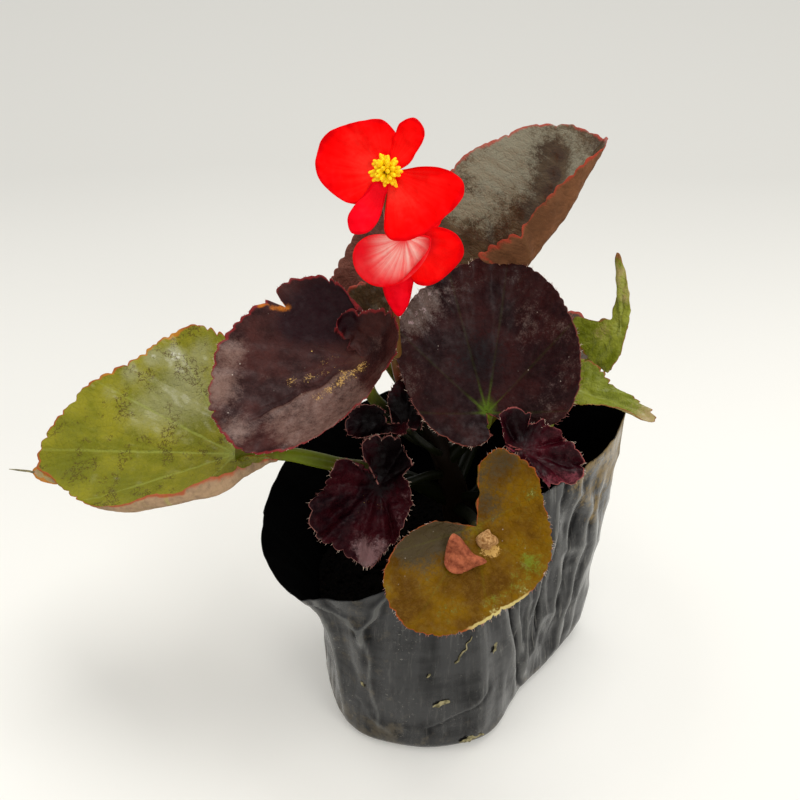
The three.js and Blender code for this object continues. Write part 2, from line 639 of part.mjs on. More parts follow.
// The inner surface, closed above the rim by one more ring so that it cuts the bag open.
function cavity(inset) {
  const rings = bagRings(inset);
  const above = rings[BAG_LEVELS].map((p) => p.clone().setZ(p.z + 8));
  return solid(loft([...rings, above]));
}

const bag = solid(loft(bagRings(0))).subtract(cavity(BAG_WALL));
root.add(named("grow_bag", bag, black_film));

// The potting mix fills the bag up to a lumpy surface that rises a little round the stem.
function soilHeight(x, y) {
  const mound = 3 * Math.exp(-((x - 3) ** 2 + (y - 6) ** 2) / 300);
  const lumps = 1.1 * Math.sin(x / 6.3 + 1) * Math.cos(y / 5.1) + 0.6 * Math.sin(y / 3.3);
  return SOIL_HEIGHT + mound + lumps;
}
const [blockX, blockY, squaresX, squaresY] = SOIL_BLOCK;
const block = new THREE.BoxGeometry(blockX, blockY, SOIL_HEIGHT, squaresX, squaresY, 1)
  .translate(0, 0, SOIL_HEIGHT / 2);
const corners = block.getAttribute("position");
for (let i = 0; i < corners.count; i++) {
  if (corners.getZ(i) > SOIL_HEIGHT - 1) {
    corners.setZ(i, soilHeight(corners.getX(i), corners.getY(i)));
  }
}
const soil = cavity(BAG_WALL + GAP).intersect(solid(block)).subtract(stemClearance);
root.add(named("soil", soil, potting_mix));

export default root;
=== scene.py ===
# %% [markdown]
# # A potted begonia
# A young begonia grows in a soft black nursery bag. It has round dark leaves with red margins and
# two red blooms. The solids behind it are loaded first, and each is then replaced by a finer
# piece made here. Lengths are in millimetres until a mesh is made, when MM turns them to metres.

import math

import bpy
import numpy as np
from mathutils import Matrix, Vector


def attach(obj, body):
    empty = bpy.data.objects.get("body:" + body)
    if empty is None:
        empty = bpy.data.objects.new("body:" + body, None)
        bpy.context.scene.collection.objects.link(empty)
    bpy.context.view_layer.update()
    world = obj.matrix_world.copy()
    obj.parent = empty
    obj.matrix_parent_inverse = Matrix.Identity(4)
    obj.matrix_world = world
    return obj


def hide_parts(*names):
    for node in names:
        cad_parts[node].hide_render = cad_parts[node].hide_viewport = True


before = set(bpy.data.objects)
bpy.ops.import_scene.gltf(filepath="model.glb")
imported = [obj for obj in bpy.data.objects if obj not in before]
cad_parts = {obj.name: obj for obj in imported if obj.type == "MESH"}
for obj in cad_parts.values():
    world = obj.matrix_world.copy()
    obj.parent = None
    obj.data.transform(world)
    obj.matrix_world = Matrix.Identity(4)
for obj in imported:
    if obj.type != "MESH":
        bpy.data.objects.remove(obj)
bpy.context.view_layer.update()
MM = 0.001

# %% [markdown]
# ## The camera
# The photograph was taken from in front and above with a fairly long lens, because the far and
# the near side of the bag's mouth show almost the same width. A camera can be aimed by hand or
# placed by numbers. Numbers are used, so that the picture can be laid over the photograph.

# %% The camera
CAMERA_ELEVATION = math.radians(36)
CAMERA_DISTANCE = 480 * MM
CAMERA_AIM = Vector((-13.5, 8, 88)) * MM
LENS, SENSOR = 80, 36  # mm
NEAREST = 10  # what is nearer to the camera than this many mm isn't drawn

camera = bpy.data.objects.new("camera", bpy.data.cameras.new("camera"))
camera.data.lens, camera.data.sensor_width = LENS, SENSOR
camera.data.clip_start = NEAREST * MM
camera.location = CAMERA_AIM + CAMERA_DISTANCE * Vector(
    (0, -math.cos(CAMERA_ELEVATION), math.sin(CAMERA_ELEVATION)))
camera.rotation_euler = (math.pi / 2 - CAMERA_ELEVATION, 0, 0)
bpy.context.scene.collection.objects.link(camera)
bpy.context.scene.camera = camera
print("camera at", [round(v / MM) for v in camera.location])

# %% [markdown]
# ## Floor and light
# The plant stands on a seamless pale surface under one broad soft light, straight above, which
# is what lays the grey sheen on the leaves. The shadows are faint, so a pale sky gives more than
# half of the light. Many small lights would speckle the leaves, so there is one large panel and a
# weak one in front. Colours are shown as they are, because a filmic curve would turn the
# saturated red of the petals to orange.

# %% Floor and light
FLOOR_HALF = 3.0  # from the plant to the floor's edge, in m
FLOOR_COLOUR = (0.9, 0.89, 0.845, 1)
SKY_COLOUR = (1.0, 0.995, 0.98, 1)
SKY_STRENGTH = 0.81
LIGHTS = {  # middle in mm, size in mm, watts, colour
    "panel_above": ((60, 70, 850), 460, 2.9, (1.0, 0.99, 0.965)),
    "panel_front": ((380, -650, 560), 320, 1.35, (1.0, 0.98, 0.95)),
}

bpy.context.scene.view_settings.view_transform = "Standard"
floor_mesh = bpy.data.meshes.new("floor")
corners = [(x * FLOOR_HALF, y * FLOOR_HALF, 0) for x, y in ((-1, -1), (1, -1), (1, 1), (-1, 1))]
floor_mesh.from_pydata(corners, [], [(0, 1, 2, 3)])
floor = bpy.data.objects.new("floor", floor_mesh)
bpy.context.scene.collection.objects.link(floor)

world = bpy.data.worlds.new("sky")
world.use_nodes = True
sky = world.node_tree.nodes["Background"].inputs
sky["Color"].default_value, sky["Strength"].default_value = SKY_COLOUR, SKY_STRENGTH
bpy.context.scene.world = world

for name, (middle, size, watts, colour) in LIGHTS.items():
    light = bpy.data.objects.new(name, bpy.data.lights.new(name, "AREA"))
    light.data.energy, light.data.size, light.data.color = watts, size * MM, colour
    light.location = Vector(middle) * MM
    light.rotation_euler = (CAMERA_AIM - light.location).to_track_quat("-Z", "Y").to_euler()
    bpy.context.scene.collection.objects.link(light)
print("lights:", ", ".join(LIGHTS))

# %% [markdown]
# ## Node trees written as sums
# Finishes and growth rules are node trees. Wired by hand they are long and hard to read. A small
# class that wraps one output of a node lets a sum such as `1 - mask * 0.5` add its own Math
# nodes, and one method adds any other node.


# %% Node trees written as sums
class Wire:
    """One output of a node. Sums with numbers and other wires add Math nodes."""

    def __init__(self, recipe, socket):
        self.recipe, self.socket = recipe, socket

    def maths(self, operation, *others):
        return self.recipe.add("ShaderNodeMath", {"operation": operation},
                               dict(enumerate((self, *others))))

    def reflected(self, operation, other):
        return self.recipe.add("ShaderNodeMath", {"operation": operation}, {0: other, 1: self})

    def __add__(self, other): return self.maths("ADD", other)
    def __radd__(self, other): return self.reflected("ADD", other)
    def __sub__(self, other): return self.maths("SUBTRACT", other)
    def __rsub__(self, other): return self.reflected("SUBTRACT", other)
    def __mul__(self, other): return self.maths("MULTIPLY", other)
    def __rmul__(self, other): return self.reflected("MULTIPLY", other)
    def __pow__(self, other): return self.maths("POWER", other)
    def __abs__(self): return self.maths("ABSOLUTE")
    def sine(self): return self.maths("SINE")
    def least(self, other): return self.maths("MINIMUM", other)
    def most(self, other): return self.maths("MAXIMUM", other)
    def to_whole(self): return self.maths("PINGPONG", 0.5)

    def step(self, low, high):
        """0 below low and 1 above high, with a soft change between; high may be the lower one."""
        return self.recipe.add("ShaderNodeMapRange", {"interpolation_type": "SMOOTHSTEP"},
                               {"Value": self, "From Min": low, "From Max": high})


class Recipe:
    """A node tree that is written from the script."""

    def __init__(self, tree):
        self.tree = tree

    def add(self, kind, settings=None, sockets=None, output=0):
        node = self.tree.nodes.new(kind)
        for key, value in (settings or {}).items():
            setattr(node, key, value)
        for key, value in (sockets or {}).items():
            if isinstance(value, Wire):
                self.tree.links.new(value.socket, node.inputs[key])
            else:
                node.inputs[key].default_value = value
        return Wire(self, node.outputs[output])


# %% [markdown]
# ## A finish
# A finish is one Principled shader whose colour, roughness and relief change over the surface,
# as they do on a real leaf. Noise is read in millimetres, on Object coordinates, so that grain
# has its real size. What is the same all over is set straight on the shader's own sockets. The
# colour is built up as a painter would: a skin of two tones first, then one thin coat after
# another through its own mask.


# %% A finish
def tint(red, green, blue):
    """A colour given in screen values, 0 to 255, as the linear values that a shader takes."""
    linear = [v / 255 / 12.92 if v <= 10 else ((v / 255 + 0.055) / 1.055) ** 2.4
              for v in (red, green, blue)]
    return (*linear, 1.0)


FLAT_UNIT = 100  # a flat map holds millimetres over this, so that it stays small


class Finish(Recipe):
    """A material whose one Principled shader is fed by maths on the surface's own maps."""

    def __init__(self, name, **fixed):
        self.material = bpy.data.materials.new(name)
        self.material.use_nodes = True
        super().__init__(self.material.node_tree)
        self.shader = self.tree.nodes["Principled BSDF"]
        for socket, value in fixed.items():
            self.shader.inputs[socket.replace("_", " ")].default_value = value
        place = self.add("ShaderNodeTexCoord", output=3)
        self.place = self.scaled(place, (1 / MM,) * 3)

    def scaled(self, vector, scale):
        """Places for a pattern, stretched along the ways whose scale is small."""
        return self.add("ShaderNodeMapping", {}, {"Vector": vector, "Scale": scale})

    def axis(self, number):
        """How far to the right (0), back (1) or up (2) a spot lies, in mm."""
        return self.add("ShaderNodeSeparateXYZ", {}, {"Vector": self.place}, number)

    def values(self, *names):
        """Maps that a mesh keeps at its points, such as the distance to its margin."""
        return [self.add("ShaderNodeAttribute", {"attribute_name": name}, output=2)
                for name in names]

    def flat_map(self):
        """The piece's flat map, in mm."""
        return self.scaled(self.add("ShaderNodeUVMap", {"uv_map": "flat"}), (FLAT_UNIT,) * 3)

    def noise(self, size, detail=3, rough=0.55, at=None):
        """Soft noise of about this size in mm, round 0.5."""
        return self.add("ShaderNodeTexNoise", {},
                        {"Vector": at or self.place, "Scale": 1 / size, "Detail": detail,
                         "Roughness": rough})

    def cells(self, size, feature="F1", at=None):
        """Distance to the middle, or to the edge, of random cells of about this size in mm."""
        return self.add("ShaderNodeTexVoronoi", {"feature": feature},
                        {"Vector": at or self.place, "Scale": 1 / size})

    def mix(self, factor, first, second):
        """Two colours mixed. Three bare numbers are screen values."""
        first, second = (tint(*colour) if isinstance(colour, tuple) and len(colour) == 3
                         else colour for colour in (first, second))
        return self.add("ShaderNodeMix", {"data_type": "RGBA"}, {0: factor, 6: first, 7: second}, 2)

    def feed(self, socket, value):
        self.tree.links.new(value.socket, self.shader.inputs[socket])

    def paint(self, mask, colour, over=None):
        """A coat of colour through a mask, over the skin so far or over another colour."""
        self.skin = self.mix(mask, over or self.skin, colour)
        self.feed("Base Color", self.skin)

    def relief(self, height, strength=1.0):
        """Bump from a height in mm."""
        self.feed("Normal", self.add("ShaderNodeBump", {},
                                     {"Strength": strength, "Distance": MM, "Height": height}))


def grainy(name, size, dark, light, low=0.35, high=0.65, detail=3, rough=0.55, **fixed):
    """A finish of two tones in one grain, for small things, and that grain."""
    finish = Finish(name, **fixed)
    grain = finish.noise(size, detail, rough)
    finish.paint(grain.step(low, high), light, over=dark)
    return finish, grain


print("black to white:", tint(0, 0, 0)[0], tint(255, 255, 255)[0])

# %% [markdown]
# ## The floor's finish
# The paper is painted greyer towards the back, a painted shade where less light reaches it.
# Under the one big light the shadow round the bag's foot would be too dark, so the paper glows
# a little there, a painted light which fades out with the distance from the plant.

# %% The floor's finish
BACK_SHARE = 0.71  # how much of its lightness the floor keeps far back
GREY_FROM, GREY_FULL = 40, 380  # mm behind the plant
GLOW, GLOW_FULL, GLOW_END = 0.19, 34, 76  # strength, and the distances in mm where it fades

paper = Finish("pale_paper", Specular_IOR_Level=0.1, Roughness=0.9, Emission_Strength=GLOW)
aside, depth = paper.axis(0), paper.axis(1)
# painted shade: the paper greys towards the back
paper.paint(paper.noise(300, 2) * 0.3 + depth.step(GREY_FROM, GREY_FULL),
            tuple(BACK_SHARE * v for v in FLOOR_COLOUR[:3]) + (1,), over=FLOOR_COLOUR)
from_plant = (aside * aside + depth * depth) ** 0.5
# painted light: the paper glows round the bag's foot
paper.feed("Emission Color", paper.mix(
    from_plant.step(GLOW_END, GLOW_FULL), (0, 0, 0, 1), FLOOR_COLOUR))
floor.data.materials.append(paper.material)
print("finish:", paper.material.name)

# %% [markdown]
# ## Lines and waves
# Margins, stalks and the bag's rim are smooth lines through a few points. A centripetal spline
# is used, because it never loops between points that lie close together. Bumps come from a sum
# of waves in seeded directions, which gives the same soft unevenness at every run.

# %% Lines and waves
SPLINE_STEPS = 24


def smooth_line(points, count, closed=False):
    """count + 1 evenly spaced points on a centripetal spline through the given points."""
    p = np.array(points, float)
    if closed:
        p = np.vstack([p[-1], p, p[0], p[1]])
    else:
        p = np.vstack([2 * p[0] - p[1], p, 2 * p[-1] - p[-2]])
    gaps = np.maximum(np.sqrt(np.linalg.norm(np.diff(p[:, :3], axis=0), axis=1)), 1e-4)
    line = []
    for i in range(1, len(p) - 2):
        a, b, c = gaps[i - 1: i + 2]
        out = b * ((p[i] - p[i - 1]) / a - (p[i + 1] - p[i - 1]) / (a + b)) + p[i + 1] - p[i]
        into = b * ((p[i + 2] - p[i + 1]) / c - (p[i + 2] - p[i]) / (b + c)) + p[i + 1] - p[i]
        s = np.linspace(0, 1, SPLINE_STEPS, endpoint=False)[:, None]
        line.append(p[i] * (1 + s**2 * (2 * s - 3)) + out * s * (1 - s) ** 2
                    + p[i + 1] * s**2 * (3 - 2 * s) + into * s**2 * (s - 1))
    line = np.vstack(line + [p[-2][None]])
    run = np.concatenate([[0], np.cumsum(np.linalg.norm(np.diff(line[:, :3], axis=0), axis=1))])
    even = np.linspace(0, run[-1], count + 1)
    return np.stack([np.interp(even, run, line[:, k]) for k in range(p.shape[1])], 1)


def waves(x, y, size, seed, count=9):
    """Seeded soft bumps about size across, mostly between -1 and 1."""
    rng = np.random.default_rng(seed)
    total = 0
    for _ in range(count):
        turn, shift, stretch = rng.uniform(0, 2 * np.pi), rng.uniform(0, 6.3), rng.uniform(0.7, 1.5)
        total = total + np.sin((x * np.cos(turn) + y * np.sin(turn)) * 2 * np.pi
                               / (size * stretch) + shift)
    return total / math.sqrt(count)


def ramp(value, low, high):
    """A soft step from 0 at low to 1 at high."""
    s = np.clip((value - low) / (high - low), 0, 1)
    return s * s * (3 - 2 * s)


def near(distance, width):
    """1 on a line, and almost 0 from twice its width on."""
    return np.exp(-((distance / width) ** 2))


def unit(v):
    v = np.asarray(v, float)
    return v / np.maximum(np.linalg.norm(v, axis=-1, keepdims=True), 1e-9)


print("line test:", smooth_line([[0, 0, 0], [1, 1, 0], [2, 0, 0]], 4)[2])

# %% [markdown]
# ## Pieces
# Each finished skin is a list of points in millimetres and of faces, with maps that its finish
# reads. It becomes a smooth mesh on an object at the origin, which rides on the plant's one
# body. A piece that stands for a solid hides it.


# %% Pieces
def mesh_of(name, points, faces, maps=None, flat=None):
    """A smooth mesh with numbers and one flat map kept at its points."""
    mesh = bpy.data.meshes.new(name)
    mesh.from_pydata((np.asarray(points) * MM).tolist(), [], faces)
    for key, values in (maps or {}).items():
        keep_map(mesh, key, values)
    if flat is not None:
        corners = np.empty(len(mesh.loops), np.int32)
        mesh.loops.foreach_get("vertex_index", corners)
        mesh.uv_layers.new(name="flat").data.foreach_set(
            "uv", (np.asarray(flat)[corners] / FLAT_UNIT).astype(np.float32).ravel())
    mesh.shade_smooth()
    mesh.update()
    return mesh


def keep_map(mesh, key, values):
    mesh.attributes.new(key, "FLOAT", "POINT").data.foreach_set(
        "value", np.asarray(values, np.float32).ravel())


def piece(name, skin, finish, node=None):
    """An object that rides on the plant, made from a skin or from a ready mesh."""
    mesh = skin if isinstance(skin, bpy.types.Mesh) else mesh_of(name, *skin)
    made = bpy.data.objects.new(name, mesh)
    bpy.context.scene.collection.objects.link(made)
    mesh.materials.clear()
    mesh.materials.append(finish.material)
    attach(made, "root")
    if node:
        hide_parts(node)
    return made


# %% [markdown]
# ## Stalks
# A stalk is a long soft tube. A curve with a bevel would do, but its taper and its frame are
# hard to steer, so rings are laid along the line here, each turned as little as possible from
# the last. Both ends are closed with a small cap.

# %% Stalks
STALK_SIDES = 20
STALK_STEP = 1.2  # mm between rings
NO_STALKS_WAY = [0.3, 1, 0.2]  # no stalk starts this way, so it serves to find a side


def tube(line, radii, wobble=0.05, seed=1, sides=STALK_SIDES, step=STALK_STEP):
    """Points, faces and maps of a stalk along a line, with a radius for each of its points."""
    rows = np.hstack([np.array(line, float), np.array(radii, float)[:, None]])
    count = max(4, int(np.linalg.norm(np.diff(rows[:, :3], axis=0), axis=1).sum() / step))
    path = smooth_line(rows, count)
    ways = unit(np.gradient(path[:, :3], axis=0))
    side = unit(np.cross(ways[0], NO_STALKS_WAY))
    turn = np.linspace(0, 2 * np.pi, sides, endpoint=False)
    points = []
    for i, (middle, way) in enumerate(zip(path, ways)):
        side = unit(side - way * (side @ way))
        other = np.cross(way, side)
        uneven = 1 + wobble * waves(turn * 1.6, i * step / 4, 3, seed)
        radius = middle[3] * uneven[:, None]
        points.append(middle[:3] + radius * (np.cos(turn)[:, None] * side
                                             + np.sin(turn)[:, None] * other))
    points = np.vstack(points + [path[:1, :3], path[-1:, :3]])
    faces = []
    for i in range(count):
        for j in range(sides):
            a, b = i * sides + j, i * sides + (j + 1) % sides
            faces.append((a, b, b + sides, a + sides))
    first, last = len(points) - 2, len(points) - 1
    for j in range(sides):
        faces.append((first, (j + 1) % sides, j))
        faces.append((last, count * sides + j, count * sides + (j + 1) % sides))
    run = np.concatenate([np.repeat(np.linspace(0, 1, count + 1), sides), [0, 1]])
    return points, faces, {"run": run}


print("a stalk 30 mm long has", len(tube([[0, 0, 0], [0, 0, 30]], [1, 1])[1]), "faces")

# %% [markdown]
# ## Blades
# A begonia leaf is a lopsided round blade that meets its stalk at a notch. Its margin is
# scalloped, its ribs fan out from the stalk and fork, and the skin bulges up between them. A
# sculpted mesh could hold one leaf, but there are many, so the blade is a fan of rings between
# the stalk and a drawn margin. The same maths that sinks the ribs into the skin is used again in
# the finish, which reads the fan number, the ring and the width of a rib's sector as maps.

# %% The ribs
FORKS = ((0.30, 0.62), (0.55, 0.72), (0.74, 0.9))  # where a side rib leaves its rib, and how fast
FORK_LEAN = 0.05  # how much later the forks are on one side of a rib, as a share of the ring
SLANT = 0.8  # a side rib runs at a slant, so it is nearer than it is straight across
FAR_OFF = 9.0  # mm; no rib is near


def fan_numbers(ribs, columns):
    """The fan number at each column of a blade: whole numbers lie on its main ribs."""
    u = np.linspace(0, 1, columns + 1)
    marks = [0, *ribs, 1]
    numbers = [-0.55, *range(len(ribs)), len(ribs) - 0.45]
    fan = np.interp(u, marks, numbers)
    window = np.hanning(max(5, columns // 24) | 1)
    padded = np.pad(fan, len(window) // 2, mode="reflect", reflect_type="odd")
    return np.convolve(padded, window / window.sum(), "valid")


def rib_distance(fan, ring, sector):
    """Distance in mm to the nearest main rib and to the nearest side rib."""
    off = np.abs(fan - np.round(fan))
    lean = FORK_LEAN * np.sin(2 * np.pi * fan)
    side = np.full_like(off, FAR_OFF)
    for start, speed in FORKS:
        away = np.abs(off - speed * (ring - start - lean)) * sector * SLANT
        side = np.minimum(side, np.where(ring > start + lean - 0.02, away, FAR_OFF))
    return off * sector, side


print("side ribs on each side of a rib:", len(FORKS))


# %% [markdown]
# ## The margin of a blade
# The drawn margin is a smooth line. Real ones are scalloped, and insects have bitten them, so
# each column of the fan is shortened by a few tenths of a millimetre. Where a margin rolls under,
# the spare length is wound round a small bow, as a sheet of paper curls round a pencil.

# %% The margin of a blade
def margin_cut(shape, u, run, teeth, seed):
    """How far the margin is cut back, in mm: its uneven scallops, and the bites of insects."""
    def uneven(size, shift):
        return waves(run, 0, size, seed + shift)

    cut = 0
    if teeth:
        spacing, depth = teeth
        scallop = np.abs(np.sin(np.pi * (run / spacing + 0.45 * uneven(4 * spacing, 0)))) ** 0.6
        cut = depth * (1 - scallop) * (1 + 0.6 * uneven(3 * spacing, 1))
        cut = cut + depth * (0.5 * uneven(6 * spacing, 2) + 0.25 * uneven(0.6 * spacing, 6))
    for place, width, deep in shape.get("bites", ()):
        bite = np.exp(-np.abs((u - place) / width) ** 3)
        cut = cut + deep * bite * (1 + 0.25 * uneven(2, 8))
    return cut


def margin_roll(shape, u, run, seed):
    """How many mm of the margin roll under, and how wide the roll is."""
    length, bow = np.zeros_like(run), 2.0
    for start, end, most, bow in shape.get("roll", ()):
        length += most * np.sin(np.pi * ((u - start) / (end - start)).clip(0, 1)) ** 0.8
    return length * (1 + 0.12 * waves(run, 0, 17, seed + 9)), bow


def margin_distance(x, y, u, ring, rim, closed):
    """Distance in mm to the margin, or to the edge of the notch where that is nearer."""
    margin = (1 - ring) * np.hypot(rim[:, 0], rim[:, 1])[None]
    for end in () if closed else (0, -1):
        way = unit(rim[end, :2])
        beside = np.abs(x * way[1] - y * way[0])
        close = np.abs(u - (end != 0)) < NOTCH_SHARE
        margin = np.where(close & (beside < margin), beside, margin)
    return margin


# %% [markdown]
# ## The skin and the notch
# Between its ribs the skin bulges, and a few creases are drawn, because they make one leaf
# differ from the next. The notch has no margin of its own in the drawing, so the first and the
# last column of the fan are made uneven there.

# %% The skin of a blade
NOTCH_SHARE = 0.08  # the share of the fan, at each end, that belongs to the notch
NOTCH_EDGE = 0.05  # and the share that wanders with its edge


def rib_relief(main, side, ring, quilt):
    """The skin bulges up between the ribs and sinks along them, less so near the margin."""
    return ramp(ring, 0.02, 0.16) * quilt * (1 - 0.6 * ring) * (
        0.6 * (1 - near(main, 3.2)) + 0.3 * (1 - near(side, 1.6))
        - 0.6 * near(main, 0.7) - 0.2 * near(side, 0.5))


def creased(shape, x, y, z, seed):
    """The skin with its drawn creases, and the painted sheen that lies beyond each."""
    sheen_beyond = 0 * z
    for x0, y0, x1, y1, width, depth, sheen_and_tone in shape.get("creases", ()):
        way, long = unit([x1 - x0, y1 - y0]), math.hypot(x1 - x0, y1 - y0)
        share = ((x - x0) * way[0] + (y - y0) * way[1]) / long
        off = ((y - y0) * way[0] - (x - x0) * way[1]
               + 0.35 * waves(share * long, 0, 9, seed + 11))
        inside = ramp(share, -0.08, 0.1) * ramp(share, 1.15, 0.8)
        z = z - depth * inside * near(off, width)
        # beyond each crease the skin gets painted sheen
        sheen_beyond = sheen_beyond + sheen_and_tone * inside * ramp(off, -0.2, 0.9)
    return z, sheen_beyond


def spots_at(x, y, spots, start=0.0):
    """Soft spots, drawn as along, across, size and amount, that add up."""
    total = start + 0 * x
    for along, across, size, amount in spots:
        total = total + amount * np.exp(-((x - along) ** 2 + (y - across) ** 2) / size**2)
    return total


# %% The blade
# patch carries painted sheen and painted shade, burn the dried margin and grit the dust
SPOT_MAPS = ("patch", "burn", "grit")
RING_EASE = 1.3  # rings lie closer together towards the margin
CUT_FADE = 7  # how fast a cut in the margin dies out inwards
ROLL_HIDES = 6  # mm of roll that hide more than half of the scallops
PLAIN_FAN = 8  # a blade without ribs still numbers its fan, for its streaks


def frame_of(shape):
    """The ways along a blade's middle rib, across it and off its face."""
    up = unit(shape["face"])
    along = np.array(shape["tip"], float)
    along = unit(along - up * (along @ up))
    return along, np.cross(up, along), up


def blade(shape, columns, rings, seed, ribs=(), teeth=None, thick=(0.34, 0.3), quilt=0.2,
          uneven=0.3):
    """Points, faces, maps and flat map of a blade. teeth is (spacing, depth) in mm."""
    along, across, up = frame_of(shape)
    closed = shape.get("closed", False)
    rim = smooth_line(shape["rim"], columns, closed)
    u = np.linspace(0, 1, columns + 1)
    ring = (1 - (1 - np.arange(1, rings + 1) / rings) ** RING_EASE)[:, None]
    reach = np.hypot(rim[:, 0], rim[:, 1])
    slope = np.gradient(rim[:, :2], axis=0) * columns
    sweep = np.abs(rim[:, 0] * slope[:, 1] - rim[:, 1] * slope[:, 0]) / reach
    run = u * np.linalg.norm(slope, axis=1).mean()
    # the margin: cut back, then rolled under round a bow
    length, bow = margin_roll(shape, u, run, seed)
    cut = margin_cut(shape, u, run, teeth, seed) * (1 - 0.6 * (length / ROLL_HIDES).clip(0, 1))
    spare = length - bow * np.sin(np.minimum(length / bow, np.pi / 2))
    pull = (1 + spare / reach) * (1 - (cut / reach) * ring**CUT_FADE)
    rolled = np.clip(length - (1 - ring) * (reach + spare), 0, None)
    inward = (rolled - bow * np.sin(rolled / bow)) / reach
    x, y = rim[:, 0] * (ring * pull - inward), rim[:, 1] * (ring * pull - inward)
    cup = np.interp(u, *zip(*shape.get("cup", [(0, 1.8)])))
    z = rim[:, 2] * np.minimum(ring * pull, ring) ** cup + bow * (1 - np.cos(rolled / bow))
    # the frill near the margin, and the uneven edges of the notch
    height, pitch = shape.get("frill", (0.25, 7))
    near_rim = height * ring ** shape.get("frill_start", 5)
    z = z + near_rim * waves(run, 0, pitch, seed + 5, 5)
    shift = 0.5 * near_rim * waves(run, 0, pitch, seed + 7, 5)
    tangent = slope / np.linalg.norm(slope, axis=1, keepdims=True)
    x, y = x + shift * tangent[:, 0], y + shift * tangent[:, 1]
    for side, edge in () if closed else ((1, u), (-1, 1 - u)):
        wander = shape.get("notch", 0.6) * waves(ring * 20, 0, 6, seed + 20 + side)
        wander = wander * ramp(ring, 0.05, 0.5) * near(edge, NOTCH_EDGE)
        x, y = x - wander * rim[:, 1] / reach, y + wander * rim[:, 0] / reach
    # the skin between margin and stalk
    fan = fan_numbers(ribs, columns) if ribs else PLAIN_FAN * u
    sector = ring * sweep / np.maximum(np.gradient(fan) * columns, 0.5)
    relief = uneven * (waves(x, y, 14, seed + 3) * ring + 0.45 * waves(x, y, 4.5, seed + 4)
                       + 0.2 * waves(x, y, 2.2, seed + 10))
    if ribs:
        relief = relief + rib_relief(*rib_distance(fan, ring, sector), ring, quilt)
    z, sheen_beyond = creased(shape, x, y, z + relief * ramp(ring, 0, 0.12), seed)
    points = (np.array(shape["at"], float) + x[..., None] * along + y[..., None] * across
              + z[..., None] * up)
    grid = {"ring": ring + 0 * u, "fan": fan[None] + 0 * ring, "sector": sector,
            "margin": margin_distance(x, y, u, ring, rim, closed), "x": x, "y": y}
    for key in SPOT_MAPS:
        # the painted sheen beyond the creases joins the patch map
        grid[key] = spots_at(x, y, shape.get(key, ()), sheen_beyond if key == "patch" else 0.0)
    return thickened(points, grid, np.array(shape["at"], float), up, thick, closed)


# %% Two faces for each blade
def grid_faces(rows, columns, closed):
    """The numbers of a grid's points, and its squares; a closed grid goes all the way round."""
    index = np.arange(rows * columns).reshape(rows, columns)
    index = np.hstack([index, index[:, :1]]) if closed else index
    squares = np.stack([index[:-1, :-1], index[1:, :-1], index[1:, 1:], index[:-1, 1:]], -1)
    return index, squares.reshape(-1, 4)


def spokes(hub, line, turned=False):
    """Triangles from one point to each stretch of a line of points."""
    return [(hub, int(b), int(a)) if turned else (hub, int(a), int(b))
            for a, b in zip(line[:-1], line[1:])]


THIN_RIM = (-0.15, 0.5)  # the mm from the margin over which a blade thins out


def thickened(points, grid, middle, up, thick, closed):
    """A closed skin round the grid of a blade's middle surface, with its maps."""
    if closed:
        points = points[:, :-1]
        grid = {key: value[:, :-1] for key, value in grid.items()}
        around = np.roll(points, -1, 1) - np.roll(points, 1, 1)
    else:
        around = np.gradient(points, axis=1)
    normal = unit(np.cross(np.gradient(points, axis=0), around))
    rings, columns = points.shape[:2]
    size = rings * columns
    half = 0.5 * (thick[1] + (thick[0] - thick[1]) * (1 - grid["ring"]))
    off = (half * ramp(grid["margin"], *THIN_RIM))[..., None] * normal
    hubs = [middle + thick[0] / 2 * up, middle - thick[0] / 2 * up]
    all_points = np.vstack([(points + off).reshape(-1, 3), (points - off).reshape(-1, 3), hubs])
    top_hub, under_hub = 2 * size, 2 * size + 1
    index, top = grid_faces(rings, columns, closed)
    inner, rim = index[0], index[-1]
    wall = np.stack([rim[:-1], rim[:-1] + size, rim[1:] + size, rim[1:]], -1)
    faces = top.tolist() + (top[:, ::-1] + size).tolist() + wall.tolist()
    faces += spokes(top_hub, inner) + spokes(under_hub, inner + size, turned=True)
    for column, turned in () if closed else ((0, False), (columns - 1, True)):
        tops = [top_hub, *index[:, column].tolist()]
        unders = [under_hub, *(index[:, column] + size).tolist()]
        for i in range(rings):
            quad = (tops[i], unders[i], unders[i + 1], tops[i + 1])
            faces.append(quad[::-1] if turned else quad)
    maps = {}
    for key in ("ring", "fan", "sector", "margin", *SPOT_MAPS):
        flat = grid[key].ravel()
        at_hubs = [0, 0] if key == "ring" else [flat[:columns].mean()] * 2
        maps[key] = np.concatenate([flat, flat, at_hubs])
    maps["upper"] = np.concatenate([np.ones(size), np.zeros(size), [1, 0]])
    flat = np.stack([grid["x"], grid["y"]], -1).reshape(-1, 2)
    return all_points, faces, maps, np.vstack([flat, flat, np.zeros((2, 2))])


test = blade({"at": [0, 0, 0], "face": [0, 0, 1], "tip": [1, 0, 0], "closed": True,
              "rim": [[9, 0, 0], [0, 9, 0], [-9, 0, 0], [0, -9, 0]]}, 24, 4, 1)
print("a small test blade has", len(test[1]), "faces")

# %% [markdown]
# ## The finish of a leaf
# A leaf's skin is dark and glossy above and paler below. Its ribs start bright green at the
# stalk and fade into the blade, its margin is red, and fine pits make its shine speckled. Its
# patches lay painted sheen and painted shade on it as well. All of this follows the blade, so it
# is drawn from the blade's own maps: ring runs from the stalk to the margin, fan counts the ribs,
# sector turns fan numbers into millimetres, and margin is the distance to the edge. A picture
# could be wrapped on each leaf, but it would blur close up.

# %% The finish of a leaf
PIT = 0.42  # size of the pits in a leaf's skin, mm
QUILT = 1.7  # size of the fine net of veins, mm
RIB_WIDTH, SIDE_RIB_WIDTH = 0.55, 0.5  # half, mm
PALE_DUST = (206, 190, 176)


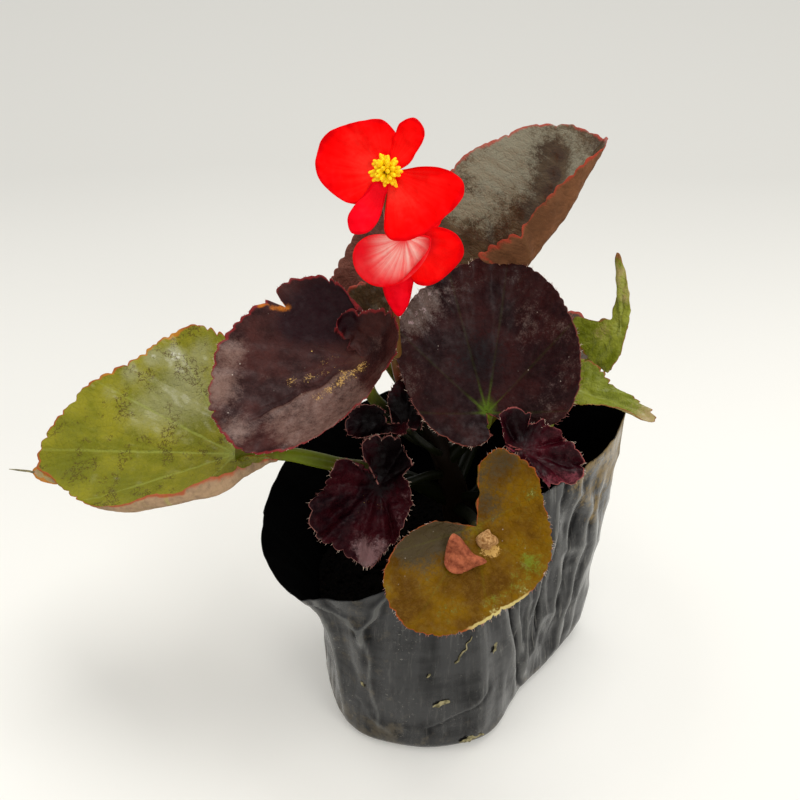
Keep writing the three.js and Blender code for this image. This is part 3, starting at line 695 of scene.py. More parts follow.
def rib_lines(ring, fan, sector, soft, fine, main, side):
    """A mask of the ribs, by the same maths as the shape's rib distance."""
    off = fan.to_whole()
    to_main = off * sector + (soft - 0.5) * 0.9
    lean = (fan * (2 * math.pi)).sine() * FORK_LEAN
    to_side = None
    for start, speed in FORKS:
        away = abs(off - (ring - lean - start) * speed) * sector * SLANT
        away = away + (ring - lean).step(start, start - 0.03) * FAR_OFF
        to_side = away if to_side is None else to_side.least(away)
    to_side = to_side + (fine - 0.5) * 0.6
    return (to_main.step(RIB_WIDTH, 0.0) * main).most(to_side.step(SIDE_RIB_WIDTH, 0.0) * side)


def leaf_finish(name, dark, light, under, edge, rib, *, reach=0.5, main=0.6, side=0.15,
                far=0.12, edge_width=0.9, gloss=0.5, coat_rough=0.24, grain=0.4, sheen_and_tone=None,
                deep=(12, 2, 5), dust=(190, 150, 82), spots=None, burn=(190, 118, 32), motes=0.0,
                pores=0.0, mottle=1.0, glints=None, glint_from=0.05):
    """dark and light are the skin's two tones, under the tone of its lower side, and edge that
    of its margin, which is edge_width mm wide. rib is the ribs' colour. It fades out by reach,
    main and side are the strength of the main and the side ribs, and far is what is left of it.
    The pale colour that the patches lay above zero is painted sheen, and on the olive and the
    bright leaves also a tone of the leaf's own; deep is the painted shade that they lay below
    zero. dust is the grit along the ribs, spots the dried splashes, burn the dried margin,
    motes the pale specks of dust and pores the dark ones. mottle is how broken the patches
    are, and glints the colour of the crisp painted highlights on them where they are stronger
    than glint_from."""
    finish = Finish(name, Specular_IOR_Level=0.04, Coat_Roughness=coat_rough, Coat_IOR=1.5)
    flat = finish.flat_map()
    ring, fan, sector, margin, upper = finish.values("ring", "fan", "sector", "margin", "upper")
    patch, burnt, grit = finish.values("patch", "burn", "grit")
    soft, fine, tiny = finish.noise(9, 3), finish.noise(1.6, 4, 0.65), finish.noise(0.4, 3, 0.75)
    soft_lean, fine_lean, tiny_lean = soft - 0.5, fine - 0.5, tiny - 0.5
    net = finish.cells(QUILT, "DISTANCE_TO_EDGE", flat)
    lines = rib_lines(ring, fan, sector, soft, fine, main, side)
    speckle = (soft_lean * 1.0 + fine_lean * 1.3 + tiny_lean * 0.7) * mottle
    # the mask of the painted sheen, which on the olive and the bright leaves is also their own tone
    sheen_and_tone_mask = (patch + speckle).step(0.2, 0.95)
    # the upper side, coat by coat
    finish.paint(soft.step(0.36, 0.64), light, over=dark)
    finish.paint((fine * 0.6 + tiny * 0.4).step(0.46, 0.62) * 0.4, light)
    finish.paint(net.step(0.12, 0.0) * 0.2, dark)
    # painted shade where the patches are below zero
    finish.paint((0 - patch + speckle * 0.6).step(0.1, 0.75), deep)
    # painted sheen where they are above zero, on the olive and the bright leaves also a tone of their own
    if sheen_and_tone:
        finish.paint(sheen_and_tone_mask * 0.85, sheen_and_tone)
    # painted highlights: crisp glints on the strongest patches
    if glints:
        glint = (patch * 0.22 + fine * 0.6 + tiny * 0.25 - net.step(0.3, 0.0) * 0.1).step(0.6, 0.68)
        finish.paint(glint * patch.step(glint_from, glint_from + 0.3) * 0.8, glints)
    if pores:
        pore = finish.cells(0.95).step(0.2, 0.08) * (fine + soft * 0.6).step(0.72, 0.9)
        finish.paint(pore * pores, dark)
    finish.paint(lines * (far + ring.step(reach, 0.0) * (1 - far)), rib)
    finish.paint((ring + fine_lean * 0.06).step(0.13, 0.03) * main, rib)
    if spots:
        ridge = abs(finish.noise(1.7, 3, 0.7) - 0.5).step(0.036, 0.014)
        finish.paint(ridge * finish.noise(6, 2).step(0.53, 0.6) * 0.85, spots)
    if dust:
        heap = (tiny * 0.7 + fine * 0.3 + grit * 0.24).step(0.62, 0.7)
        finish.paint(heap * grit.step(0.08, 0.3), dust)
    if motes:
        mote = finish.cells(2.3).step(0.09, 0.06) * finish.noise(5, 1).step(0.56, 0.66)
        finish.paint(mote * motes, PALE_DUST)
    # the lower side, and the margin on both
    below = finish.mix((soft * 0.6 + fine * 0.4).step(0.35, 0.65), under,
                       tuple(0.78 * v for v in under))
    finish.paint(upper, finish.skin, over=finish.mix(lines * 0.7, below, rib))
    broken = margin + soft_lean * edge_width * 5 + fine_lean * edge_width * 1.5
    broken = broken - burnt.least(0.5) * 1.6
    finish.paint(broken.step(edge_width * 1.2, edge_width * 0.1) * 0.8,
                 finish.mix(burnt.step(0.1, 0.4), edge, burn))
    finish.paint((burnt + speckle * 0.9).step(0.45, 1.1), burn)
    finish.feed("Roughness", fine_lean * 0.3 + 0.5 + (1 - upper) * 0.25)
    finish.feed("Coat Weight", (sheen_and_tone_mask * 0.3 + gloss + fine_lean * 0.5).least(1).most(0) * upper)
    height = (tiny * 0.1 - finish.cells(PIT, at=flat) * 0.08 - net.step(0.22, 0.0) * 0.1
              - lines * 0.15)
    finish.relief(height + fine * grain + soft * grain * 1.2)
    return finish


# In each look below, the pale patch colour is painted sheen (on the olive and the bright leaves also a tone
# of their own), deep is painted shade and glints are painted highlights.
LEAF_FINISHES = {
    "maroon": leaf_finish(
        "maroon_leaf", (24, 3, 5), (46, 15, 14), (84, 34, 36), (120, 62, 50), (84, 112, 14),
        reach=0.28, main=0.5, side=0.06, far=0.08, edge_width=0.24, sheen_and_tone=(96, 78, 70),
        gloss=0.14, coat_rough=0.34, motes=0.5, glints=(150, 126, 126)),
    "maroon_dusty": leaf_finish(
        "dusty_maroon_leaf", (40, 14, 13), (68, 33, 29), (104, 44, 46), (132, 34, 36),
        (104, 72, 48), reach=0.5, main=0.12, side=0.03, edge_width=0.7, sheen_and_tone=(132, 102, 90),
        deep=(30, 2, 8), gloss=0.2, coat_rough=0.38, grain=0.28, burn=(196, 110, 20), motes=0.6,
        mottle=0.5),
    "maroon_young": leaf_finish(
        "young_maroon_leaf", (16, 0, 4), (52, 8, 15), (80, 26, 34), (150, 96, 88),
        (46, 20, 20), reach=0.3, main=0.1, side=0.03, edge_width=0.16, sheen_and_tone=(124, 92, 92),
        deep=(5, 0, 1), gloss=0.08, coat_rough=0.32),
    "crimson_young": leaf_finish(
        "crimson_young_leaf", (32, 0, 6), (62, 3, 15), (120, 40, 60), (158, 80, 76),
        (80, 30, 30), reach=0.3, main=0.1, side=0.03, edge_width=0.22, sheen_and_tone=(124, 48, 60),
        deep=(20, 0, 4), gloss=0.2, coat_rough=0.32),
    "green": leaf_finish(
        "green_leaf", (108, 108, 8), (138, 132, 26), (184, 152, 120), (170, 72, 34),
        (158, 166, 74), reach=1.6, main=0.5, side=0.08, far=0.2, edge_width=0.55,
        sheen_and_tone=(146, 144, 96), deep=(100, 102, 8), dust=None, spots=(74, 54, 8), gloss=0.32,
        grain=0.3, mottle=0.32, glints=(206, 204, 180), glint_from=0.95),
    "bright": leaf_finish(
        "bright_green_leaf", (104, 112, 20), (136, 142, 48), (160, 134, 88), (140, 70, 36),
        (158, 164, 80), reach=1.5, main=0.4, side=0.2, edge_width=0.3, sheen_and_tone=(164, 140, 96),
        burn=(140, 92, 56), gloss=0.3),
    "olive": leaf_finish(
        "olive_leaf", (84, 53, 0), (116, 82, 0), (150, 100, 50), (158, 74, 34), (118, 122, 20),
        reach=1.3, main=0.14, side=0.04, edge_width=0.26, sheen_and_tone=(102, 116, 2), deep=(70, 58, 38),
        burn=(206, 190, 122), gloss=0.08, coat_rough=0.4, grain=0.2, mottle=1.3,
        motes=0.4),
    "bronze": leaf_finish(
        "bronze_leaf", (58, 40, 22), (88, 70, 48), (128, 84, 56), (170, 62, 46), (96, 78, 44),
        reach=1.3, main=0.15, side=0.05, edge_width=0.9, sheen_and_tone=(134, 128, 106),
        deep=(64, 44, 28), gloss=0.5, grain=0.25, pores=0.7),
    "mauve": leaf_finish(
        "mauve_leaf", (86, 48, 40), (116, 74, 62), (96, 44, 28), (150, 70, 60), (104, 74, 56),
        reach=1.3, main=0.2, side=0.06, edge_width=0.4, gloss=0.1, grain=0.25),
}
print("leaf finishes:", ", ".join(LEAF_FINISHES))

# %% [markdown]
# ## The leaves
# Every leaf is drawn: where its stalk meets it, the way its upper side faces, the way its
# middle rib runs, and some points of its margin in the leaf's own frame, as millimetres along
# the middle rib, across it and off its face. The same values shaped the solids, so the fine leaf
# fills the same place. Lines in a leaf's own frame carry the rest:
#
# - `ribs` and `bites` are set by their share of the way round the margin, and so is `roll`,
#   with its two ends, its length and its width. `teeth` are their spacing and depth.
# - `cup` is how late the blade rises to its margin, and `frill` the height and pitch of its
#   waves. `quilt` and `uneven` are the heights of its bulges.
# - `creases` run from one place to another, with a width, a depth and the painted sheen beyond
#   them.
# - `patch` lays painted sheen above zero, on the olive and the bright leaves also a tone of
#   their own, and painted shade below zero. `burn` is dried and `grit` gathers dust. Each is a
#   list of soft spots: along, across, size and amount.
# - `share` is the part of the finest grid that a small leaf needs.

# %% The leaves
LEAVES = {
    "leaf_left_dark": dict(
        at=(-23, -6, 111), face=(-0.12, -0.52, 0.85), tip=(-0.89, -0.32, -0.32), roll=[(0.9, 1.05, 1.2, 2)],
        notch=1.1, frill=(0.5, 6), bites=[(0.171, 0.006, 4)], uneven=0.2, quilt=0.12,
        stalk=[(-6, 1, 84), (-15, -2, 90), (-21, -3, 98)], radius=(2, 1.5),
        ribs=(0.08, 0.24, 0.36, 0.47, 0.57, 0.74), teeth=(3.4, 0.8), look="maroon_dusty", hairs=0.5,
        rim=[(-5, -12.5, 5), (-3.5, -19, 8), (3, -25, 8), (8.2, -26, 7.8), (11.6, -25, 7.2), (20.5, -24, 7),
            (30.5, -20, 6), (37.5, -11, 5), (40.5, -3.5, 4), (40.5, 6, 5), (35, 13.5, 7), (24, 17, 8),
            (12.5, 16.5, 9), (2, 12.5, 9), (-6, 7.5, 9), (-10.5, 2, 10), (-11.8, -3.4, 10.5),
            (-8.7, -6.4, 10.5), (-5, -7.8, 9.5), (-2.8, -10, 9), (-0.1, -10, 8.5), (2.8, -8, 8)],
        creases=[(3, 0.2, 31, 2, 0.8, 0.7, 0.6)],
        patch=[(36, -9, 6, 0.8), (29, -17, 5, 0.6), (37, 4, 5, 0.7), (24, -6, 3, 0.25), (-4.6, -1.4, 4, 0.4),
            (-3.5, 8, 4, 0.5), (18, -2, 2.5, 0.4), (4, -16, 8, -1.1), (-2, -12, 6, -0.8),
            (12, -16, 5, -0.6)],
        burn=[(10.8, -20.4, 1.3, 0.75), (12.8, -20.9, 1.3, 0.85), (14.8, -22, 1.2, 0.8),
            (17, -23.4, 1.1, 0.5)],
        grit=[(1.8, 1.6, 2, 0.9), (6, 0.5, 1.5, 0.75), (10, -0.4, 1.5, 0.75), (14.5, -1.6, 1.5, 0.65),
            (19, -2.8, 1.5, 0.5), (4.5, 2.7, 1.7, 0.95), (8, 3.1, 1.5, 0.85), (11.5, 3.7, 1.5, 0.85),
            (15, 4.2, 1.4, 0.75), (8, -4, 3, 0.3)]),
    "leaf_centre_dark": dict(
        at=(9, -10, 97), face=(-0.05, -0.66, 0.75), tip=(0.08, 0.75, 0.66),
        stalk=[(-1, 3, 71), (5, 1, 80), (8.5, -4, 88)], radius=(2.1, 1.6),
        ribs=(0.12, 0.28, 0.45, 0.56, 0.7, 0.85), teeth=(2.8, 0.32), look="maroon", frill=(0.5, 9),
        bites=[(0.46, 0.02, 1.6)], hairs=1, uneven=0.16,
        rim=[(-2.5, -5, 0.5), (-3.5, -12, 1.5), (-1.5, -19, 4), (6.5, -23, 7), (16, -23, 8),
            (21.5, -21.5, 7), (32, -16.5, 5), (38.5, -9, 4), (41, 1.5, 6), (38, 8, 7), (31.5, 17.5, 8),
            (22.5, 23.5, 8), (13, 24.5, 8), (0, 19, 6), (-7.5, 12, 4), (-9.5, 3, 2), (-6.5, -1.5, 1)],
        creases=[(18, 5, 42, 8, 1.8, 0.35, 0), (20, 0, 42, 1, 1.6, -0.3, 0), (20, -5, 41, -5.5, 1.8, 0.4, 0),
            (24, 10, 34, 18, 1.2, 0.4, 0.1)],
        patch=[(27, 18, 5, 0.7), (21, 21, 4, 0.6), (31, 12.6, 3.5, 0.3), (27, -9, 4, 0.3), (22, -8, 4, 0.3),
            (22, -18, 4, 0.3), (14, -20, 4, 0.25), (2, -15, 4, 0.35), (8, -18, 4, 0.25), (17, -9, 4, 0.2),
            (6, 20, 6, 0.25), (14, 3, 8, -0.6)]),
    "leaf_left_green": dict(
        at=(-57, -8, 82), face=(-0.15, -0.42, 0.9), tip=(-0.99, 0.07, -0.13),
        stalk=[(2, 5, 55), (-14, -2, 70), (-29.5, -7.5, 78), (-44, -8, 82)], radius=(2.3, 1.8),
        ribs=(0.1, 0.22, 0.36, 0.5, 0.64, 0.8), teeth=(4.4, 0.9), look="green",
        roll=[(0.61, 1.02, 6.8, 2.5)], frill=(0.35, 9), uneven=0.25,
        rim=[(-4.5, -14, 3), (-1, -28.5, 4), (4, -34.5, 5), (12.5, -38, 5), (21.5, -34.5, 4),
            (30.5, -28.5, 4), (40, -23.5, 3), (47.5, -16.5, 2), (52.5, -10.5, 1), (55, -0.5, 0),
            (49.5, 5, 1), (40, 13.5, 3), (28.5, 18.5, 6), (18.5, 18.5, 9), (4.5, 17, 11), (-4, 12, 9.5),
            (-11, 7, 7), (-13, 3.5, 3)],
        creases=[(5, -12, 25, -25, 1.5, 0.5, 0.08), (14, -2, 40, -16, 2, -0.4, 0)],
        patch=[(14, -18, 12, 0.7), (27, -14, 8, 0.35), (4, -16, 5, 0.1), (24, -29.5, 2.6, 1),
            (18, -30, 2.6, 1), (30, -25, 3, 0.7), (10, -31, 4, 0.5), (16, -25, 5, 0.3), (36, -20, 3, 0.4),
            (44, 2, 8, -0.6), (30, 8, 8, -0.6), (46, -10, 5, -0.4)],
        burn=[(26, -31, 4, 0.4), (18, -35, 3, 0.6), (36, -24, 3, 0.4), (50, -8, 2, 0.5)]),
    "leaf_back_tall": dict(
        at=(15.2, 23.4, 116.3), face=(-0.83, -0.1, 0.54), tip=(0.47, 0.39, 0.79),
        cup=[(0, 3.2), (0.15, 3.8), (0.3, 4), (0.42, 2), (0.5, 1.05)],
        stalk=[(0, 3.6, 66), (4, 12, 80), (11, 22, 101)], radius=(2.1, 1.5),
        ribs=(0.1, 0.28, 0.44, 0.62, 0.82), teeth=(3.6, 0.45), look="bronze", frill=(0.4, 8), uneven=0.22,
        quilt=0.1,
        rim=[(3.4, -10.8, 16.5), (6.6, -11.9, 16), (9.4, -15.6, 15.5), (12.2, -17.7, 14.4),
            (13.4, -18, 12.2), (16.2, -17.5, 12.4), (19.8, -19.2, 12.4), (24.8, -22, 11.8),
            (29.9, -23, 10.8), (35.3, -24.6, 8.8), (40, -23.2, 6.2), (42.8, -20.4, 3.6), (45.3, -9.8, -1),
            (44.8, -4.1, -0.5), (43.9, 2.6, 4.1), (41.2, 6.2, 9.3), (36.6, 9.8, 14.4), (30.9, 12.4, 18),
            (24.7, 14.9, 22.1), (18, 16, 23.2), (7.7, 15.5, 22.7), (-3.1, 10.8, 16.5), (-5.7, 7.2, 10.3)],
        creases=[(10, -3, 40, 3, 2.6, 0.9, 0), (6, 6, 20, 12, 2, 0.5, 0)],
        patch=[(34, -8, 7, 0.9), (40, 2, 6, 0.5), (24, -8, 7, 0.8), (34, 10, 6, 1), (22, 10, 6, 0.9),
            (12, 10, 6, 0.8), (27, 8, 5, 0.6), (36, 2.4, 2.2, -1.5), (31, 1.4, 2.2, -1.5),
            (26, 0.4, 2.2, -1.5), (21, -0.7, 2.2, -1.4), (16, -1.8, 2.2, -1.2)]),
    "leaf_right_upright": dict(
        at=(44.4, 8.4, 109.2), foot=(36, 8, 100), face=(-0.7, -0.5, 0.5), tip=(0.18, 0.56, 0.81),
        cup=[(0, 1.4)], closed=True, stalk=[(2.7, 5.7, 51), (16, 9, 66), (32, 13, 85), (38, 11.5, 95)],
        radius=(1.7, 1.3), ribs=(0.13, 0.37, 0.62, 0.86), teeth=(2.6, 0.3), look="bright", share=0.6,
        frill=(0.2, 5),
        rim=[(-10.5, 2.1, 0), (-8.7, 0.2, -0.3), (-4, -1.5, -0.5), (1.4, -1.8, -0.5), (6.6, -1.4, -0.5),
            (10.6, -0.5, -0.5), (16.1, 1.7, 0.3), (20.8, 3.9, 1.5), (21.3, 4.8, 1.8), (19.8, 5.4, 1.5),
            (15.7, 4.5, 0.3), (10.6, 3.5, -0.3), (6.5, 3.9, -0.2), (3.5, 4.1, 0.5), (3.6, 6.2, 1),
            (2.6, 7, 1.3), (2.5, 9.9, 2), (2.6, 13.4, 3), (-1, 13.9, 3), (-5.1, 11, 2), (-8.1, 8.2, 1),
            (-9.9, 5.4, 0.3)],
        creases=[(-1, 1, 9, 1.2, 0.6, 0.4, 0), (-1, 3, -7, 6, 1, 0.5, 0)],
        burn=[(20.6, 4.8, 2.5, 0.9), (3.6, 6, 1.2, 0.7), (2.6, 10, 1.4, 0.7)],
        patch=[(16, 2.5, 3, 0.6), (10, 1, 2.5, 0.5), (0, 6, 3, 0.4)]),
    "leaf_right_low": dict(
        at=(29, 0.1, 98.3), face=(-0.1, -0.38, 0.92), tip=(0.9, -0.42, -0.08),
        stalk=[(3, 6, 45), (15, 0, 60), (24, 0, 78)], radius=(1.5, 1.2), ribs=(0.2, 0.48, 0.75),
        teeth=(2.2, 0.7), look="bright", share=0.6, frill=(0.3, 5),
        bites=[(0.43, 0.012, 1.3), (0.5, 0.01, 1.6), (0.56, 0.012, 1)],
        rim=[(-1.4, -4.5, 1), (4.7, -4.4, 1), (9.9, -3.4, 1), (14.7, -1.5, 0), (18.6, -0.3, -1),
            (22.4, -0.5, -2), (25.2, 0, -3), (25.8, 2.2, -3), (21.8, 3.9, -2), (18.2, 4.5, -1),
            (13.2, 5.1, 0), (7.8, 7.7, 1), (4.7, 8.5, 2), (0.5, 8.2, 3), (-2, 5, 3)],
        creases=[(2, 1, 22, 1.6, 0.8, 0.6, 0.05)],
        patch=[(24, 1, 5, 1), (17, -2, 3, 0.3)]),
    "leaf_front_olive": dict(
        at=(6, -33, 78), face=(0.05, -0.72, 0.69), tip=(0.3, -0.65, -0.7),
        stalk=[(2.5, 5, 53), (5, -10, 63), (6, -24, 72)], radius=(1.8, 1.3),
        ribs=(0.12, 0.3, 0.47, 0.62, 0.8), teeth=(3, 0.45), look="olive", frill=(0.3, 8), hairs=0.9,
        uneven=0.14, quilt=0.1,
        rim=[(-4.5, -10, 4), (-3.5, -17, 5), (0.5, -23.5, 5), (6, -27, 4), (14.5, -27, 3), (19.5, -24.5, 3),
            (23.5, -18, 4), (24, -9, 4), (22.5, -0.5, 4), (19.5, 9, 3), (14.5, 14.5, 3), (8.5, 17.5, 3),
            (-1, 18, 4), (-8.5, 18, 6), (-13.5, 15, 7), (-17, 10.5, 7), (-14.5, 5, 5)],
        grit=[(6.5, 1.2, 2, 3)],
        creases=[(6, 1, 19, -3, 0.6, 0.12, 0), (3, 3, 16, 11, 0.7, 0.12, 0), (-2, 5, -14, 12, 1.4, 0.4, 0)],
        patch=[(-1, -12, 7, -0.9), (-3, -6, 4, -0.7), (0, -20, 5, -0.6), (-12, 6, 6, -0.4),
            (-14, 12, 4, -0.5), (-4, 4, 4, -0.5), (13, 10, 2.6, 0.8), (17, 4, 3, 0.4), (19, -2, 2.4, 0.4)],
        burn=[(23.6, -9, 2.4, 0.3), (23.2, -5, 2.6, 0.36), (22.6, -1.5, 2.6, 0.36), (21.6, 2, 2.6, 0.36),
            (20.3, 6, 2.4, 0.3)]),
    "leaf_front_ruffled": dict(
        at=(-19, -20, 81), face=(-0.1, -0.74, 0.67), tip=(-0.09, -0.66, -0.74),
        stalk=[(-1, 3, 67), (-8, -7, 73), (-15, -14, 76)], radius=(1.4, 1), frill=(2, 8), frill_start=2,
        notch=1, hairs=1, quilt=0.03, uneven=0.5, ribs=(0.1, 0.28, 0.48, 0.66, 0.84), teeth=(3.4, 0.9),
        look="maroon_young", share=0.9,
        rim=[(-4.8, -3, 3), (-5.4, -9.8, 6), (-2.4, -11.8, 5), (1.2, -14, 4), (6.5, -16.9, 2),
            (13.1, -15.5, 1), (17.2, -10.5, 2), (20, -4.6, 3), (21.7, 0.6, 6), (17, 4.1, 5), (13.8, 6.1, 3),
            (8.3, 7.8, 3), (1.4, 9.5, 5), (-2.9, 7.4, 4), (-6.4, 9, 7), (-8.2, 7.5, 6), (-12.3, 5.4, 9),
            (-12.4, 1.4, 9), (-11, -3.5, 8), (-6.5, -4, 7)],
        grit=[(4, 0, 3, 0.35)],
        creases=[(3, -1, 17, -4, 1, 0.9, 0), (3, 2, 14, 5, 0.9, 0.7, 0), (0, -3, 9, -12, 1.3, 0.8, 0),
            (-4, 2, -9, 4, 1.2, 1, 0)],
        patch=[(19, -0.5, 2.8, 1.1), (16, -3, 2.5, 0.8), (16, 3, 2, 0.6), (-8, 4, 6, -1), (0, 0, 5, -0.6),
            (8, 7, 2, 0.35), (2, 7, 2, 0.3)]),
    "leaf_right_young": dict(
        at=(18, -19.2, 92.1), face=(0.2, -0.61, 0.77), tip=(0.9, -0.19, -0.39),
        stalk=[(2.5, 5, 57), (10, -6, 67), (16, -13, 80)], radius=(1.4, 1.1), frill=(1.4, 7), frill_start=2,
        notch=0.7, hairs=0.8, quilt=0.04, uneven=0.4, ribs=(0.15, 0.35, 0.6, 0.82), teeth=(3, 0.7),
        look="crimson_young", share=0.8,
        rim=[(-5.1, -2.7, 3), (-1.6, -2.4, 2), (2.5, -4.7, 2), (7.2, -5.9, 2), (9.5, -6.7, 2), (12.6, -4, 1),
            (16.3, -2.1, 2), (15.3, 2.8, 3), (11.5, 5.4, 3), (6.9, 7.6, 3), (3.4, 8.5, 4), (1.3, 9, 5),
            (-1.8, 5.9, 4), (-3.5, 7.3, 7), (-7.4, 6.2, 8), (-10.1, 3.7, 8.5), (-8.4, 0.1, 8),
            (-6, -1.8, 6)],
        creases=[(3, 0, 14, 1, 0.8, 0.7, 0.2), (3, 2, 10, 7, 0.8, 0.5, 0), (-3, 1, -8, 4, 1.2, 0.9, 0)],
        patch=[(12, -3.4, 2.2, 0.6), (8.5, -6, 2.2, 0.6), (15, -1.4, 2.2, 0.6), (-4, 4, 5, -1)]),
    "leaf_crown_left": dict(
        at=(-17, -12, 95), face=(-0.15, -0.7, 0.7), tip=(-0.99, 0.07, -0.14),
        stalk=[(-3, 2.5, 76), (-9, -5, 84), (-14, -9, 91)], radius=(1.1, 0.8), frill=(0.9, 5),
        frill_start=2.5, hairs=0.8, quilt=0.04, ribs=(0.2, 0.45, 0.7), teeth=(2.2, 0.6), look="maroon_young",
        share=0.6,
        rim=[(0, -3.5, 3), (3.5, -5, 4), (8.5, -4, 3.5), (10.5, -0.5, 3), (9.5, 3, 3), (4.5, 4, 3.5),
            (-1, 3.5, 4), (-5.5, 3.5, 4.5), (-6.5, 0.5, 4)],
        patch=[(3, 0, 6, -1)]),
    "leaf_crown_right": dict(
        at=(-11.7, -11, 93), face=(0.05, -0.9, 0.42), tip=(-0.09, 0.42, 0.9),
        stalk=[(-2, 3, 73.5), (-5, -6, 82), (-10, -8.5, 89)], radius=(1, 0.8), frill=(0.9, 5),
        frill_start=2.5, hairs=0.8, quilt=0.04, ribs=(0.2, 0.5, 0.8), teeth=(2.2, 0.6), look="maroon_young",
        share=0.6,
        rim=[(-1, -3.5, 1), (3, -4.5, 2), (8.5, -4, 1.5), (13.5, 0, 1), (9.5, 4, 1), (3.5, 4, 1.5),
            (-1, 3, 1)],
        patch=[(5, 0, 6, -1)]),
    "leaf_back_left": dict(
        at=(-21, 16, 109), face=(-0.25, -0.78, 0.57), tip=(-0.19, 0.62, 0.76),
        stalk=[(1.5, 4.5, 58), (-7, 12, 77), (-17, 18, 99)], radius=(1.7, 1.3), ribs=(0.15, 0.35, 0.55, 0.8),
        teeth=(3.4, 0.5), look="mauve", share=0.7,
        rim=[(-2, -5, 1), (0.5, -9, 2), (6.5, -13.5, 4), (15, -16.5, 5), (25, -14, 5), (29.5, -8, 5),
            (26, -4, 4), (20, 1.5, 4), (14, 7, 4), (8, 10.5, 4), (2, 9, 3), (-1.5, 4.5, 1)]),
    "leaf_rear_low": dict(
        at=(-20, 6, 110), face=(-0.4, -0.75, 0.52), tip=(-0.35, 0.35, 0.87),
        stalk=[(-4, 2.3, 78.5), (-10, 7, 88), (-18, 9, 101)], radius=(1.3, 1), ribs=(0.2, 0.45, 0.75),
        teeth=(2.8, 0.5), look="bronze", share=0.6,
        rim=[(-2, -4, 1), (2, -8, 2), (8, -9, 2), (13.5, -5, 2), (14.5, 1, 2), (11, 7, 2), (4, 8, 2),
            (-1.5, 4.5, 1)]),
    "leaf_rear_right": dict(
        at=(20, 20, 91), face=(0.1, 0.05, 0.99), tip=(0.3, 0.95, -0.08),
        stalk=[(1.7, 4.7, 60), (8, 14, 71), (16, 19, 82)], radius=(1.8, 1.4),
        ribs=(0.12, 0.3, 0.5, 0.7, 0.88), teeth=(4, 0.6), look="bronze", share=0.8,
        rim=[(-3, -7, 2), (-1, -14, 4), (6, -19, 6), (16, -19, 6), (25, -13, 5), (29, -3, 4), (27, 7, 3),
            (19, 12, 3), (9, 13, 2), (0, 11, 2), (-3.5, 6, 1)]),
}
print("leaves:", len(LEAVES))

# %% [markdown]
# ## The stem's skin
# Begonia stems are juicy: green, a little see-through at the edge, with a red blush and fine
# lengthwise lines. Low down each stalk is painted dark, a painted shade where the crown shades it.

# %% The stem's skin
def stem_finish(name, green, blush, blush_amount, shade, run_end=None):
    """shade is a painted shade, the dark tone low down: up to run_end of the stalk's own run,
    or by height.
    """
    finish = Finish(name, Specular_IOR_Level=0.06, Coat_Weight=0.14, Coat_Roughness=0.25)
    streak = finish.noise(1.2, 3, 0.6, finish.scaled(finish.place, (1, 1, 0.12)))
    patch = finish.noise(7, 3)
    if run_end:
        low = (finish.values("run")[0] + (patch - 0.5) * 0.3).step(run_end, run_end - 0.34)
    else:
        low = (finish.axis(2) + patch * 14).step(118, 96)
    finish.paint((patch * 0.6 + streak * 0.4).step(0.38, 0.62) * blush_amount, blush, over=green)
    # painted shade: the stalk is darker low down
    finish.paint(low, shade)
    finish.feed("Roughness", streak * 0.3 + 0.35)
    finish.relief(streak * 0.2, 0.7)
    return finish


GREEN_STALK = stem_finish("green_stalk", (100, 112, 20), (92, 66, 20), 0.6, (14, 17, 2), 0.74)
DARK_STALK = stem_finish("dark_stalk", (56, 60, 10), (50, 26, 12), 0.7, (12, 14, 2), 1.2)
RED_STALK = stem_finish("blushed_stalk", (96, 72, 30), (120, 50, 34), 0.8, (20, 12, 5))
print("stalk finishes:", *(f.material.name for f in (GREEN_STALK, DARK_STALK, RED_STALK)))

# %% [markdown]
# ## Making the leaves
# Each leaf is made from its row: its blade, and a stalk that rises from the stem and sinks a
# little into the blade's underside, so that no gap shows. The stalks of the young leaves and of
# the olive one stand in the shade of the crown, and are painted dark as painted shade.

# %% Making the leaves
COLUMNS, RINGS = 420, 52
STALK_SINK = 0.2  # a leaf stalk ends this far behind its blade's middle, in mm
# the looks whose stalks are painted dark nearly all along, as painted shade
SHADED = ("maroon_young", "crimson_young", "olive")

made_leaves, leaf_skins = {}, {}
for number, (name, leaf) in enumerate(LEAVES.items()):
    look, share = leaf["look"], leaf.get("share", 1)
    skin = blade(leaf, int(COLUMNS * share), int(RINGS * share), 10 * number + 7, leaf["ribs"],
                 leaf["teeth"], quilt=leaf.get("quilt", 0.2), uneven=leaf.get("uneven", 0.3))
    made_leaves[name] = piece(name + "_blade", skin, LEAF_FINISHES[look], name)
    leaf_skins[name] = skin
    end = np.array(leaf.get("foot", leaf["at"])) - STALK_SINK * unit(leaf["face"])
    line = [*leaf["stalk"], tuple(end)]
    radii = np.interp(np.linspace(0, 1, len(line)), [0, 1], leaf["radius"])
    piece(name + "_stalk", tube(line, radii, seed=number),
          DARK_STALK if look in SHADED else GREEN_STALK)
print("leaf faces:", sum(len(o.data.polygons) for o in made_leaves.values()))

# %% [markdown]
# ## The main stem
# The stem rises out of the soil, thins into the flower stalk and ends in the knob of the upper
# bloom. A short side stalk carries the lower bloom. The solid's own points are used again.

# %% The main stem
STALK = [(4, 8, 26, 4), (3, 6, 46, 4), (1, 4, 62, 3.6), (-4, 2, 79, 2.8), (-10, -1, 93, 2),
         (-14, -3, 106, 1.7), (-15, -3, 120, 1.5), (-14.5, -3.5, 136, 1.3),
         (-16.5, -5, 154, 1.1)]
SIDE_STALK = [(-16.2, -4.7, 150, 1.1), (-14.5, -7, 154.5, 1)]
PEDICEL = 0.9
KNOB_BACK = 1.2  # how far a bloom's knob lies behind its middle, in mm
